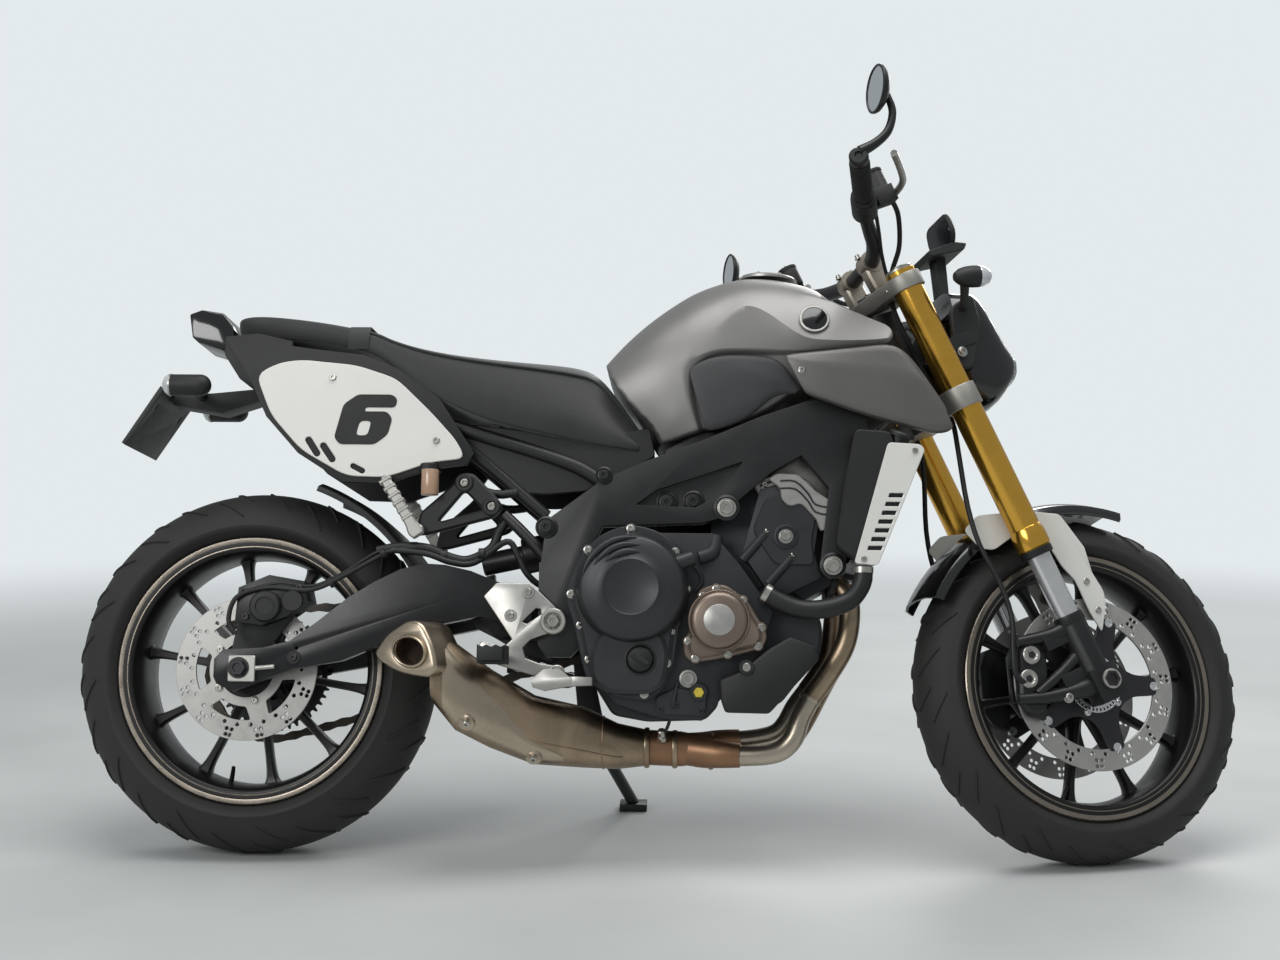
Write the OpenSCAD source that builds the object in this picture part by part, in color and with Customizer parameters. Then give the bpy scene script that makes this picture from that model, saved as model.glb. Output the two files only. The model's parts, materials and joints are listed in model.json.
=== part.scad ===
// Standard motorcycle with a three cylinder engine, parked on its side stand.
// Millimetres. +X forward, +Y to the rider's left, +Z up. The bike is drawn upright with the rear
// axle above X 0, then its front end is turned and the whole bike leans over.

/* [Stance] */
// Lean to the left on the side stand, degrees
lean = 11.5; // [11:0.1:12]
// Turn of the front end to the left at rest, degrees
steer = 17.5; // [14:0.5:20]
// Distance between the two axles
wheelbase = 1440; // [1432:1:1448]
// Steering head angle from upright, degrees
rake = 25; // [24.5:0.5:25.5]
// Ground trail of the front wheel
trail = 103; // [100:1:106]
// Height of the rear axle, upright
rear_axle_z = 315; // [313:1:317]
// Height of the front axle, upright
front_axle_z = 300; // [298:1:303]

/* [Wheels] */
// Rear tyre wall, from the rim's flange to the tread
rear_wall = 84; // [82:1:86]
// Rear tyre width
rear_tyre_w = 180; // [176:1:182]
// Front tyre wall, from the rim's flange to the tread
front_wall = 69; // [67:1:71]
// Front tyre width
front_tyre_w = 120; // [116:1:124]
// Rim radius over the flange
rim_r = 231; // [229:1:232]
// Spokes in each wheel
spokes = 10; // [8:1:12]
// Radius of both axles
axle_r = 12; // [10:0.5:13]
// Gap around every turning shaft
run_gap = 0.1; // [0.06:0.01:0.1]

/* [Brakes] */
// Front disc radius
front_disc_r = 149; // [146:1:152]
// Rear disc radius
rear_disc_r = 122; // [119:1:124]
// Thickness of every disc
disc_t = 5; // [4:0.5:5.5]
// Gap from a disc to its caliper
pad_gap = 5.3; // [5.2:0.1:6]

/* [Front end] */
// Distance of each fork leg from the middle
fork_half = 105; // [103:1:106]
// Fork legs ahead of the steering axis
fork_offset = 25; // [23:1:27]
// Outer fork tube radius
fork_tube_r = 27; // [25:0.5:28]
// Chrome slider radius
slider_r = 20.5; // [19:0.5:22]
// Handlebar tube radius at the ends
bar_r = 11; // [10.5:0.5:12]
// Half width of the handlebar
bar_half = 390; // [380:5:395]
// Radius of each round mirror
mirror_r = 40; // [36:1:43]

/* [Drive and stand] */
// Swingarm pivot radius
pivot_r = 30; // [27:1:32]
// Radius of the teeth on the rear sprocket
sprocket_r = 106; // [104:0.5:106.5]
// Teeth on the rear sprocket
teeth = 45; // [42:1:47]
// Radius of the chain line at the rear
chain_r = 119; // [118:1:121]
// Stand leg radius
stand_leg_r = 11; // [9:0.5:12]
// Stand pivot pin radius
stand_pin_r = 7; // [6:0.5:8]

/* [Hidden] */
$fn = 48;

seat_gap = 0.3;
rear_tyre_r = rim_r + rear_wall;
front_tyre_r = rim_r + front_wall;
rear_crown = rear_tyre_w * 0.53;
front_crown = front_tyre_w * 0.535;
axis_x = wheelbase + trail;

// Rest pose: the front end turns about the steering axis, then the bike pitches until both tyres
// touch the floor and leans onto the stand.
front_lean = cos(steer) * sin(lean) + sin(rake) * sin(steer) * cos(lean);
axle_up = trail * sin(rake) + front_axle_z * cos(rake);
axle_out = front_axle_z * sin(rake) - trail * cos(rake);
hub_z = axle_up * cos(rake) + axle_out * sin(rake) * cos(steer);
hub_y = axle_out * sin(steer);
front_low = hub_z * cos(lean) - hub_y * sin(lean)
    - (front_tyre_r - front_crown) * sqrt(1 - front_lean * front_lean) - front_crown;
rear_low = (rear_axle_z - rear_tyre_r + rear_crown) * cos(lean) - rear_crown;
pitch = asin((front_low - rear_low) / wheelbase);
lift = -rear_low;
origin_x = 708.4;
origin_y = 217.6;

function park(p) =
    let (y = p[1] * cos(lean) + p[2] * sin(lean), z = p[2] * cos(lean) - p[1] * sin(lean))
    [p[0] * cos(pitch) + z * sin(pitch) - origin_x, y - origin_y, z * cos(pitch) - p[0] * sin(pitch) + lift];

module parked() {
    translate([-origin_x, -origin_y, lift])
        rotate([0, pitch, 0])
            rotate([-lean, 0, 0])
                children();
}

// Fork space has its Z on the steering axis and X forward.
module fork_space() {
    parked()
        translate([axis_x, 0, 0])
            rotate([0, -rake, 0])
                rotate([0, 0, steer])
                    children();
}

// Bike coordinates turned with the front end, with X from the front axle.
module turned() {
    fork_space()
        rotate([0, rake, 0])
            translate([-trail, 0, 0])
                children();
}

module front_axle_space() {
    turned()
        translate([0, 0, front_axle_z])
            rotate([-90, 0, 0])
                children();
}

module rear_axle_space() {
    parked()
        translate([0, 0, rear_axle_z])
            rotate([-90, 0, 0])
                children();
}

function unit(v) = v / norm(v);

// Smooth run of rows through the given rows, with k steps in each span.
function pick(rows, i) = rows[max(0, min(len(rows) - 1, i))];
function blend4(a, b, c, d, t) =
    0.5 * ((2 * b) + (c - a) * t + (2 * a - 5 * b + 4 * c - d) * t * t + (3 * b - a - 3 * c + d) * t * t * t);
function smooth(rows, k) = concat(
    [for (i = [0 : len(rows) - 2]) for (j = [0 : k - 1])
        blend4(pick(rows, i - 1), rows[i], rows[i + 1], pick(rows, i + 2), j / k)],
    [rows[len(rows) - 1]]);

function back(rows) = [for (i = [len(rows) - 1 : -1 : 0]) rows[i]];

function arc(c, r, a0, a1, n) =
    [for (i = [0 : n]) c + r * [cos(a0 + (a1 - a0) * i / n), sin(a0 + (a1 - a0) * i / n)]];

function total(v, i = 0) = i == len(v) - 1 ? v[i] : v[i] + total(v, i + 1);
function middle(ring) = total(ring) / len(ring);

// Closed skin over rings with equal point counts. An end ring that isn't flat closes with a fan.
module skin(rings, fan = false) {
    m = len(rings[0]);
    last = len(rings) - 1;
    hub = m * (last + 1);
    pts = [for (ring = rings) for (p = ring) p, middle(rings[0]), middle(rings[last])];
    sides = [for (i = [0 : last - 1]) for (j = [0 : m - 1])
        let (a = i * m + j, b = i * m + (j + 1) % m, c = a + m, d = b + m)
        each [[a, b, d], [a, d, c]]];
    start = fan ? [for (j = [0 : m - 1]) [hub, (j + 1) % m, j]] : [[for (j = [0 : m - 1]) m - 1 - j]];
    end = fan ? [for (j = [0 : m - 1]) [hub + 1, last * m + j, last * m + (j + 1) % m]]
        : [[for (j = [0 : m - 1]) last * m + j]];
    used = fan ? pts : [for (i = [0 : hub - 1]) pts[i]];
    polyhedron(points = used, faces = concat(start, sides, end), convexity = 6);
}

// Round pipe along a path. The side vector must not lie along the path.
module pipe(path, r, side = [0, 1, 0], n = 14) {
    last = len(path) - 1;
    skin([for (i = [0 : last])
        let (t = unit(path[min(i + 1, last)] - path[max(i - 1, 0)]),
            u = unit(cross(side, t)),
            v = cross(t, u))
        [for (j = [0 : n - 1]) path[i] + r * (cos(-360 * j / n) * u + sin(-360 * j / n) * v)]]);
}

// Ring of a rounded section across X: row is [x, y, z, half width, half height, squareness above, below].
function round_pow(v, e) = sign(v) * pow(abs(v), e);
function section(row, n) = [for (j = [0 : n - 1])
    let (a = 360 * (j + 0.5) / n, e = 2 / (sin(a) > 0 ? row[5] : row[6]))
    [row[0], row[1] + row[3] * round_pow(cos(a), e), row[2] + row[4] * round_pow(sin(a), e)]];
module body(rows, n = 24) {
    skin([for (row = rows) section(row, n)]);
}

// Plate with its outline in X and Z, between two Y values.
module slab(outline, y0, y1) {
    translate([0, y1, 0])
        rotate([90, 0, 0])
            linear_extrude(y1 - y0)
                polygon(outline);
}

module both() {
    children();
    mirror([0, 1, 0])
        children();
}

// Round bar along Y.
module cross_bar(x, z, r, y0, y1) {
    translate([x, y0, z])
        rotate([-90, 0, 0])
            cylinder(r = r, h = y1 - y0);
}

module rod(a, b, r) {
    d = b - a;
    l = norm(d);
    translate(a)
        rotate([0, acos(d[2] / l), atan2(d[1], d[0])])
            cylinder(r = r, h = l);
}

// Wheels

module tyre(r, w, crown) {
    rim_w = w * 0.39;
    ring = r - crown;
    half = concat(arc([ring, 0], crown, 0, 66, 9),
        [[rim_r + 12, w * 0.485], [rim_r + 4, w * 0.42], [rim_r + 1, rim_w], [rim_r - 15 + seat_gap, rim_w]]);
    low = [for (i = [len(half) - 1 : -1 : 1]) [half[i][0], -half[i][1]]];
    rotate_extrude($fn = 90)
        polygon(concat(low, half));
}

module rim(w, hub_r, hub_half, flange_r, flange_t) {
    in_w = w * 0.39 + seat_gap;
    out_w = in_w + 6;
    root = hub_r * sin(180 / spokes) * 0.85;
    difference() {
        union() {
            rotate_extrude($fn = 90)
                polygon([[rim_r - 27, -out_w], [rim_r, -out_w], [rim_r, -in_w], [rim_r - 15, -in_w],
                    [rim_r - 15, in_w], [rim_r, in_w], [rim_r, out_w], [rim_r - 27, out_w]]);
            cylinder(r = hub_r, h = 2 * hub_half, center = true);
            for (s = [-1, 1])
                translate([0, 0, s * (hub_half - flange_t / 2)])
                    cylinder(r = flange_r, h = flange_t, center = true);
            for (i = [0 : spokes - 1])
                rotate([0, 0, i * 360 / spokes])
                    translate([0, 0, -14])
                        linear_extrude(28)
                            polygon([[hub_r - 6, -root], [120, -8], [rim_r - 34, -10], [rim_r - 24, -14],
                                [rim_r - 24, 14], [rim_r - 34, 10], [120, 8], [hub_r - 6, root]]);
        }
        cylinder(r = axle_r + run_gap, h = 3 * hub_half, center = true);
    }
}

module disc(r, bore_r, z) {
    translate([0, 0, z])
        difference() {
            cylinder(r = r, h = disc_t, $fn = 72);
            translate([0, 0, -1])
                cylinder(r = bore_r, h = disc_t + 2);
            for (i = [0 : 4])
                rotate([0, 0, i * 72])
                    translate([0, 0, -1])
                        linear_extrude(disc_t + 2)
                            polygon(concat(arc([0, 0], r - 34, 10, 62, 10), arc([0, 0],
                                bore_r + 12, 56, 16, 6)));
        }
}

rear_hub = 97.5;
rear_disc_z = rear_hub + seat_gap;
front_hub = 65;
front_disc_z = front_hub + seat_gap;

module rear_tyre() {
    color([0.05, 0.05, 0.05])
        rear_axle_space()
            tyre(rear_tyre_r, rear_tyre_w, rear_crown);
}

module rear_rim() {
    color([0.12, 0.11, 0.1])
        rear_axle_space()
            rim(rear_tyre_w, 46, rear_hub, 62, 10);
}

module rear_disc() {
    color([0.6, 0.6, 0.6])
        rear_axle_space()
            disc(rear_disc_r, 48, -rear_disc_z - disc_t);
}

module front_tyre() {
    color([0.05, 0.05, 0.05])
        front_axle_space()
            tyre(front_tyre_r, front_tyre_w, front_crown);
}

module front_rim() {
    color([0.12, 0.11, 0.1])
        front_axle_space()
            rim(front_tyre_w, 34, front_hub, 58, 8);
}

module front_discs() {
    color([0.6, 0.6, 0.6])
        front_axle_space()
            for (z = [front_disc_z, -front_disc_z - disc_t])
                disc(front_disc_r, 42, z);
}

// Chain drive

sprocket_y = 102;
sprocket_t = 6;
gear_x = 600;
gear_z = 405;
gear_r = 46;
chain_w = 18;
chain_y = sprocket_y + sprocket_t / 2 - chain_w / 2;
chain_d = [gear_x, gear_z - rear_axle_z];
chain_l = norm(chain_d);
chain_a = atan2(chain_d[1], chain_d[0]);
chain_b = acos((chain_r - gear_r) / chain_l);
links = 110;

// Point of the chain loop: walks over the top run, the front, the low run and the rear.
function loop_pt(f, off) =
    let (top = chain_a + chain_b, low = chain_a - chain_b,
        run = sqrt(chain_l * chain_l - pow(chain_r - gear_r, 2)),
        front_arc = gear_r * (top - low) * PI / 180,
        rear_arc = chain_r * (360 - top + low) * PI / 180,
        total = 2 * run + front_arc + rear_arc,
        s = f * total)
    s < run
        ? chain_r * [cos(top), sin(top)] + s * [cos(top - 90), sin(top - 90)] + off * [cos(top), sin(top)]
    : s < run + front_arc
        ? let (a = top - (s - run) / gear_r * 180 / PI) chain_d + (gear_r + off) * [cos(a), sin(a)]
    : s < 2 * run + front_arc
        ? let (q = s - run - front_arc)
            chain_d + (gear_r + off) * [cos(low), sin(low)] + q * [cos(low - 90), sin(low - 90)]
    : let (a = low - (s - 2 * run - front_arc) / chain_r * 180 / PI) (chain_r + off) * [cos(a), sin(a)];

module chain_band(y0, y1, wide, narrow, n) {
    translate([0, y1, rear_axle_z])
        rotate([90, 0, 0])
            linear_extrude(y1 - y0)
                difference() {
                    polygon([for (i = [0 : n - 1]) loop_pt(i / n, i % 2 == 0 ? wide : narrow)]);
                    polygon([for (i = [0 : n - 1]) loop_pt(i / n, i % 2 == 0 ? -wide : -narrow)]);
                }
}

module chain() {
    color([0.35, 0.33, 0.3])
        parked() {
            chain_band(chain_y, chain_y + 4, 8, 5.5, links);
            chain_band(chain_y + 4, chain_y + chain_w - 4, 4.5, 4.5, links);
            chain_band(chain_y + chain_w - 4, chain_y + chain_w, 8, 5.5, links);
        }
}

module rear_sprocket() {
    step = 360 / teeth;
    color([0.55, 0.5, 0.4])
        rear_axle_space()
            translate([0, 0, sprocket_y])
                difference() {
                    linear_extrude(sprocket_t)
                        polygon([for (i = [0 : teeth - 1]) each [
                            (sprocket_r - 8) * [cos((i - 0.3) * step), sin((i - 0.3) * step)],
                            sprocket_r * [cos((i - 0.1) * step), sin((i - 0.1) * step)],
                            sprocket_r * [cos((i + 0.1) * step), sin((i + 0.1) * step)],
                            (sprocket_r - 8) * [cos((i + 0.3) * step), sin((i + 0.3) * step)]]]);
                    translate([0, 0, -1])
                        cylinder(r = 40, h = sprocket_t + 2);
                    for (i = [0 : 4])
                        rotate([0, 0, i * 72])
                            translate([74, 0, -1])
                                cylinder(r = 15, h = sprocket_t + 2);
                }
    color([0.3, 0.3, 0.3])
        rear_axle_space()
            translate([0, 0, rear_hub + seat_gap])
                difference() {
                    cylinder(r = 52, h = sprocket_y - rear_hub - seat_gap);
                    translate([0, 0, -1])
                        cylinder(r = 40, h = 20);
                }
}

// Frame

arm_in = 119;
arm_out = 150;
spar_in = 116;
spar_out = 150;
pivot_x = 530;
pivot_z = 400;

module spar_side() {
    difference() {
        slab([[505, 470], [516, 572], [608, 641], [677, 673], [779, 711], [882, 755], [960, 782], [1035, 790],
            [1060, 760], [1066, 711], [1055, 642], [1026, 510], [1012, 484], [996, 484], [982, 505],
            [997, 632],
            [950, 688], [899, 658], [839, 606], [822, 581], [780, 570], [612, 563], [600, 540], [600, 470]],
            spar_in, spar_out);
        slab([[668, 600], [704, 626], [790, 655], [850, 676], [812, 618], [770, 596]],
            spar_out - 12, spar_out + 1);
    }
    slab([[505, 360], [520, 340], [560, 340], [598, 380], [598, 500], [505, 500]], spar_in, spar_out);
}

module frame() {
    color([0.08, 0.08, 0.085])
        parked()
            difference() {
                union() {
                    both()
                        spar_side();
                    both()
                        hull() {
                            slab([[960, 776], [1030, 780], [1055, 735], [1052, 715], [985, 740]],
                                spar_in - 6, spar_in + 8);
                            translate([axis_x, 0, 0])
                                rotate([0, -rake, 0])
                                    translate([-44, 24, 895])
                                        cube([24, 16, 140]);
                        }
                    translate([axis_x, 0, 0])
                        rotate([0, -rake, 0])
                            translate([0, 0, 882])
                                cylinder(r = 36, h = 178);
                    cross_bar(560, 545, 15, -spar_in - 4, spar_in + 4);
                    cross_bar(pivot_x, pivot_z, 12, -spar_in - 4, spar_in + 4);
                    slab([[548, 345], [580, 345], [606, 232], [596, 196], [568, 196], [560, 232]],
                        spar_in + 1, spar_in + 15);
                }
                translate([axis_x, 0, 0])
                    rotate([0, -rake, 0])
                        translate([0, 0, 800])
                            cylinder(r = stem_r + run_gap, h = 400);
                rod(stand_pivot - 60 * stand_axis, stand_pivot + 60 * stand_axis, stand_pin_r + run_gap);
            }
}

stem_r = 16;
stand_pivot = [582, 126, 214];
stand_axis = unit([0, 0.96, 0.28]);
foot_x = 655;
foot_y = 345;

module subframe() {
    color([0.1, 0.1, 0.1])
        parked() {
            both() {
                pipe(smooth([[612, 102.5, 640], [570, 102, 668], [500, 101, 694], [420, 102, 718],
                    [310, 102, 752],
                    [200, 100, 790], [100, 96, 822], [68, 94, 832]], 3), 13);
                pipe([[512, 100, 585], [430, 100, 655], [330, 101, 736]], 11);
            }
            cross_bar(420, 748 - 9, 8, -102, 102);
            cross_bar(200, 790, 9, -100, 100);
        }
}

// Engine

module engine() {
    color([0.16, 0.16, 0.17])
        parked() {
            slab([[605, 300], [640, 262], [715, 240], [785, 238], [830, 290], [880, 350], [902, 420],
                [845, 500],
                [800, 552], [640, 552], [605, 520]], -150, 88);
            slab([[668, 300], [715, 245], [785, 240], [830, 290], [878, 350], [892, 420], [840, 500],
                [800, 550],
                [668, 550]], 87, 150);
            slab([[790, 510], [905, 415], [1000, 468], [1012, 512], [1000, 600], [937, 655], [880, 655],
                [800, 590]],
                -110, 110);
            slab([[850, 520], [905, 440], [985, 480], [972, 520], [985, 610], [945, 645], [880, 630]],
                -138, -109);
        }
}

module head_cover() {
    color([0.62, 0.6, 0.58])
        parked()
            slab([[884, 656], [937, 656], [1002, 601], [1018, 616], [1012, 650], [952, 706], [895, 700]],
                -106, 106);
}

clutch = [664, 431];

module clutch_cover() {
    color([0.2, 0.2, 0.21])
        parked() {
            cross_bar(clutch[0], clutch[1], 118, -172, -150 - seat_gap);
            cross_bar(clutch[0], clutch[1], 104, -200, -171);
            cross_bar(clutch[0], clutch[1], 62, -208, -199);
            slab([[590, 340], [596, 288], [625, 272], [700, 272], [728, 292], [735, 345]],
                -182, -150 - seat_gap);
        }
}

module ignition_cover() {
    color([0.33, 0.25, 0.2])
        parked()
            difference() {
                union() {
                    slab([[764, 341], [845, 350], [880, 392], [884, 410], [850, 446], [800, 464], [764, 450],
                        [700, 400]], -176, -150 - seat_gap);
                    cross_bar(811, 403, 47, -190, -175);
                }
                cross_bar(clutch[0], clutch[1], 122, -230, -140);
                slab([[590, 350], [590, 260], [742, 260], [742, 350]], -230, -140);
            }
}

module left_covers() {
    color([0.2, 0.2, 0.21])
        parked() {
            cross_bar(790, 405, 92, 150 + seat_gap, 185);
            cross_bar(790, 405, 60, 184, 196);
            slab([[606, 335], [664, 335], [664, 490], [606, 490]], 120, 150);
            slab([[657, 335], [664, 335], [664, 490], [657, 490]], 88 + seat_gap, 121);
        }
}

module airbox() {
    color([0.05, 0.05, 0.05])
        parked()
            slab([[715, 590], [785, 605], [868, 676], [880, 730], [778, 734 - seat_gap], [715, 700]],
                seat_gap - spar_in, spar_in - seat_gap);
}

module radiator() {
    color([0.07, 0.07, 0.07])
        parked() {
            slab([[1038, 515], [1068, 508], [1138, 686], [1108, 698]], -150, 150);
            both()
                slab([[1034, 504], [1072, 499], [1148, 690], [1108, 708]], 149, 178);
            both()
                slab([[1065, 700], [1112, 702], [1110, 690], [1063.4, 690]], 122, 146);
        }
}

module radiator_guards() {
    color([0.8, 0.79, 0.76])
        parked()
            both()
                difference() {
                    slab([[1036, 500], [1076, 497], [1156, 694], [1148, 703], [1094, 706]],
                        178 + seat_gap, 183);
                    for (i = [0 : 7])
                        slab([[1058 + 7 * i, 530 + 17 * i], [1084 + 7 * i, 530 + 17 * i],
                            [1086 + 7 * i, 537 + 17 * i], [1060 + 7 * i, 537 + 17 * i]], 170, 190);
                }
}

module coolant_hose() {
    color([0.06, 0.06, 0.06])
        parked()
            pipe(smooth([[1052, -168, 496], [1050, -170, 468], [1028, -171, 438], [985, -171, 424],
                [945, -169, 424],
                [912, -168, 436], [884, -166.5, 452]], 4), 16);
}

module coolant_tank() {
    color([0.1, 0.1, 0.1])
        parked()
            slab([[815, 271], [812, 304], [847, 318], [894, 356], [930, 378], [972, 362], [978, 340],
                [895, 249],
                [822, 250]], -178, -150 - seat_gap);
}

// Exhaust

function header(y0, y1, z1) = concat([[1002.5, y0, 475.5]], smooth([[1016, y0, 471.82], [1038, y0, 446],
    [1048, y0, 404], [1042, y0 * 0.9, 345], [1010, (y0 + y1) / 2, 250], [965, y1, z1 + 16], [905, y1, z1],
    [830, y1 * 0.9 - 6, z1], [770, -58, 186]], 5));

module exhaust_pipes() {
    color([0.36, 0.29, 0.22])
        parked() {
            pipe(header(-80, -92, 176), 18);
            pipe(header(0, -56, 176), 18);
            pipe(header(80, -20, 176), 18);
            pipe([[800, -58, 186], [770, -58, 186], [735, -58, 188], [692, -60, 190]], 30, n = 20);
        }
}

module muffler() {
    color([0.4, 0.33, 0.26])
        parked()
            body(smooth([[690, -60, 190, 31, 31, 2, 2], [640, -66, 192, 48, 42, 2.4, 2.4],
                [580, -80, 206, 66, 54, 2.7, 2.7], [500, -108, 230, 74, 60, 2.7, 2.7],
                [430, -150, 262, 66, 60, 2.6, 2.6], [360, -192, 306, 52, 58, 2.5, 2.5],
                [300, -208, 336, 48, 54, 2.5, 2.5], [262, -212, 348, 43, 48, 2.4, 2.4]], 3), 28);
}

// Bodywork

// Left half of the tank, from the rear edge to the front face. Each row runs from the middle of the
// top over the shoulder, the facet's crease and the knee panel to the middle of the underside.
tank_half = [
    [[606, 0, 868], [607, 42, 864], [611, 82, 850], [618, 100, 832], [628, 110, 812], [650, 117, 786],
        [676, 119, 760], [690, 119, 748], [700, 118, 734], [712, 112, 716], [702, 0, 724]],
    [[640, 0, 909], [640, 48, 902], [644, 92, 880], [650, 114, 852], [660, 123, 824], [678, 128, 795],
        [700, 128, 766], [710, 127, 750], [720, 126, 736], [732, 118, 721], [730, 0, 724]],
    [[690, 0, 954], [690, 54, 947], [692, 104, 918], [696, 127, 884], [702, 136, 850], [712, 139, 815],
        [724, 137, 780], [730, 136, 764], [737, 134, 748], [748, 126, 727], [750, 0, 728]],
    [[742, 0, 990], [742, 58, 982], [743, 112, 948], [744, 135, 908], [745, 143, 870], [746, 145, 838],
        [752, 144, 806], [757, 143, 784], [764, 140, 762], [766, 132, 732], [766, 0, 732]],
    [[764, 0, 1003], [764, 59, 995], [764, 115, 960], [763, 138, 918], [762, 146, 880], [762, 148, 855],
        [765, 147, 842], [768, 148, 800], [774, 143, 760], [778, 130, 734], [778, 0, 734]],
    [[800, 0, 1018], [800, 61, 1010], [800, 118, 976], [800, 140, 938], [800, 149, 900], [800, 151, 873],
        [801, 148, 862], [802, 150, 820], [803, 144, 765], [804, 130, 739], [804, 0, 738]],
    [[847, 0, 1030], [847, 64, 1023], [847, 113, 994], [847, 131, 974], [847, 145, 950], [847, 152, 873],
        [848, 148, 862], [849, 150, 826], [850, 144, 778], [850, 130, 749], [850, 0, 748]],
    [[900, 0, 1030], [900, 66, 1022], [900, 114, 994], [900, 136, 964], [900, 153, 932], [900, 152, 872],
        [901, 149, 860], [902, 150, 820], [903, 144, 800], [903, 130, 780], [903, 0, 776]],
    [[951, 0, 1020], [951, 66, 1012], [951, 118, 983], [951, 144, 938], [951, 162, 888], [951, 152, 869],
        [952, 143, 861], [952, 137, 850], [952, 134, 838], [952, 130, 818], [952, 0, 810]],
    [[990, 0, 1008], [990, 70, 1000], [990, 124, 968], [990, 147, 930], [990, 163, 887], [990, 153, 872],
        [990, 143, 866], [990, 138, 862], [990, 134, 858], [990, 130, 852], [990, 0, 850]]];

function flip(p) = [p[0], -p[1], p[2]];
function tank_ring(row) = concat(
    smooth(concat([for (k = [4 : -1 : 0]) row[k]], [for (k = [1 : 4]) flip(row[k])]), 3),
    [for (k = [5 : 9]) flip(row[k])],
    [for (k = [10 : -1 : 5]) row[k]]);

module fuel_tank() {
    color([0.4, 0.39, 0.38])
        parked()
            skin([for (row = back(smooth(tank_half, 2))) tank_ring(row)], true);
}

// Ears of the tank that reach past the fork, each ring from the inner wall over the top edge and the crease.
ear_rows = [
    [[990 + seat_gap, 139, 912], [990 + seat_gap, 138, 950], [990 + seat_gap, 127, 964],
        [990 + seat_gap, 147, 930],
        [990 + seat_gap, 163, 887], [990 + seat_gap, 153, 872], [990 + seat_gap, 143, 867],
        [990 + seat_gap, 139, 884]],
    [[1006, 140, 912], [1006, 139, 946], [1006, 134, 962], [1006, 149, 926], [1006, 163, 886],
    [1006, 153, 873],
        [1006, 145, 868], [1006, 140, 884]],
    [[1042, 143, 905], [1042, 143, 930], [1042, 143, 942], [1042, 152, 914], [1042, 163, 886],
    [1042, 154, 876],
        [1042, 148, 872], [1042, 143, 884]],
    [[1082, 147, 900], [1082, 146, 914], [1082, 147, 923], [1082, 155, 905], [1082, 163, 888],
    [1082, 157, 880],
        [1082, 151, 876], [1082, 147, 886]],
    [[1114, 152, 902], [1114, 152, 906], [1114, 153, 910], [1113, 157, 904], [1110, 162, 894],
    [1108, 158, 888],
        [1108, 154, 887], [1111, 152, 894]]];

module tank_covers() {
    color([0.4, 0.39, 0.38])
        parked()
            both()
                skin(smooth(ear_rows, 2), true);
}

// Side scoops below the ears, each ring from the inner top edge over the crease to the inner low edge.
scoop_rows = [
    [[921, 154, 860], [921, 161, 857], [923, 164, 850], [938, 165, 822], [953, 163, 797], [958, 155, 793]],
    [[962, 156, 864], [960, 165, 860], [961, 171, 845], [975, 171, 815], [990, 168, 786], [993, 156, 781]],
    [[1012, 158, 869], [1011, 166, 865], [1012, 173, 840], [1022, 173, 800], [1040, 169, 767],
    [1042, 157, 762]],
    [[1062, 158, 874], [1061, 165, 871], [1062, 173, 834], [1072, 173, 790], [1090, 169, 752],
    [1092, 157, 747]],
    [[1106, 158, 881], [1106, 163, 878], [1112, 172, 828], [1122, 172, 780], [1142, 169, 738],
    [1144, 157, 733]],
    [[1136, 158, 858], [1134, 163, 852], [1145, 171, 822], [1157, 171, 775], [1178, 168, 730],
    [1181, 157, 725]],
    [[1168, 158, 810], [1164, 162, 808], [1172, 168, 800], [1185, 168, 764], [1200, 166, 735],
    [1203, 157, 731]],
    [[1198, 158, 764], [1195, 161, 764], [1195, 165, 762], [1198, 165, 756], [1203, 163, 744],
    [1206, 157, 740]]];

module side_scoops() {
    color([0.22, 0.22, 0.23])
        parked()
            both() {
                skin(smooth(scoop_rows, 2), true);
                cross_bar(1030, 770, 8, spar_out + seat_gap, 164);
            }
}

function seat_row(x, top, low, w) = [x, 0, (top + low) / 2, w, (top - low) / 2, 2.8, 5];

module seat() {
    color([0.06, 0.06, 0.06])
        parked()
            body(back(smooth([seat_row(-48, 940, 915, 70), seat_row(0, 944, 902, 96), seat_row(100, 931,
                890, 112),
                seat_row(190, 915, 874, 122), seat_row(260, 892, 834, 130), seat_row(330, 878, 790, 134),
                seat_row(420, 871, 748, 132), seat_row(500, 869, 728, 124), seat_row(560, 865, 718, 116),
                seat_row(600, 840, 710, 112), seat_row(650, 776, 702, 112), seat_row(692, 716, 694, 104)],
                3)), 28);
}

board = [[2, 825], [40, 846], [80, 852], [177, 843], [248, 820], [311, 760], [356, 711], [372, 680],
    [313, 673],
    [236, 646], [166, 648], [86, 693], [31, 754]];

module tail_unit() {
    color([0.07, 0.07, 0.07])
        parked() {
            both()
                slab(concat([[-52, 884], [-10, 888], [100, 872], [190, 862], [250, 838]],
                    [[323, 787], [387, 690], [374, 670], [313, 662], [236, 636], [160, 638], [80, 688],
                    [22, 752],
                    [-8, 815]]), 118, 130);
            slab([[-58, 896], [-36, 898], [0, 902 - seat_gap], [60, 888], [60, 838], [0, 812], [-30, 820],
                [-58, 862]],
                -119, 119);
            both()
                cross_bar(200, 790, 9, 113 + seat_gap, 119);
        }
}

module number_panels() {
    color([0.82, 0.82, 0.78])
        parked()
            both()
                difference() {
                    slab(board, 130 + seat_gap, 134);
                    for (p = [[112, 706, 24], [152, 686, 24], [186, 660, 20]])
                        translate([p[0], 125, p[1]])
                            rotate([0, 35, 0])
                                translate([-p[2] / 2, 0, -6])
                                    cube([p[2], 20, 12]);
                }
}

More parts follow.
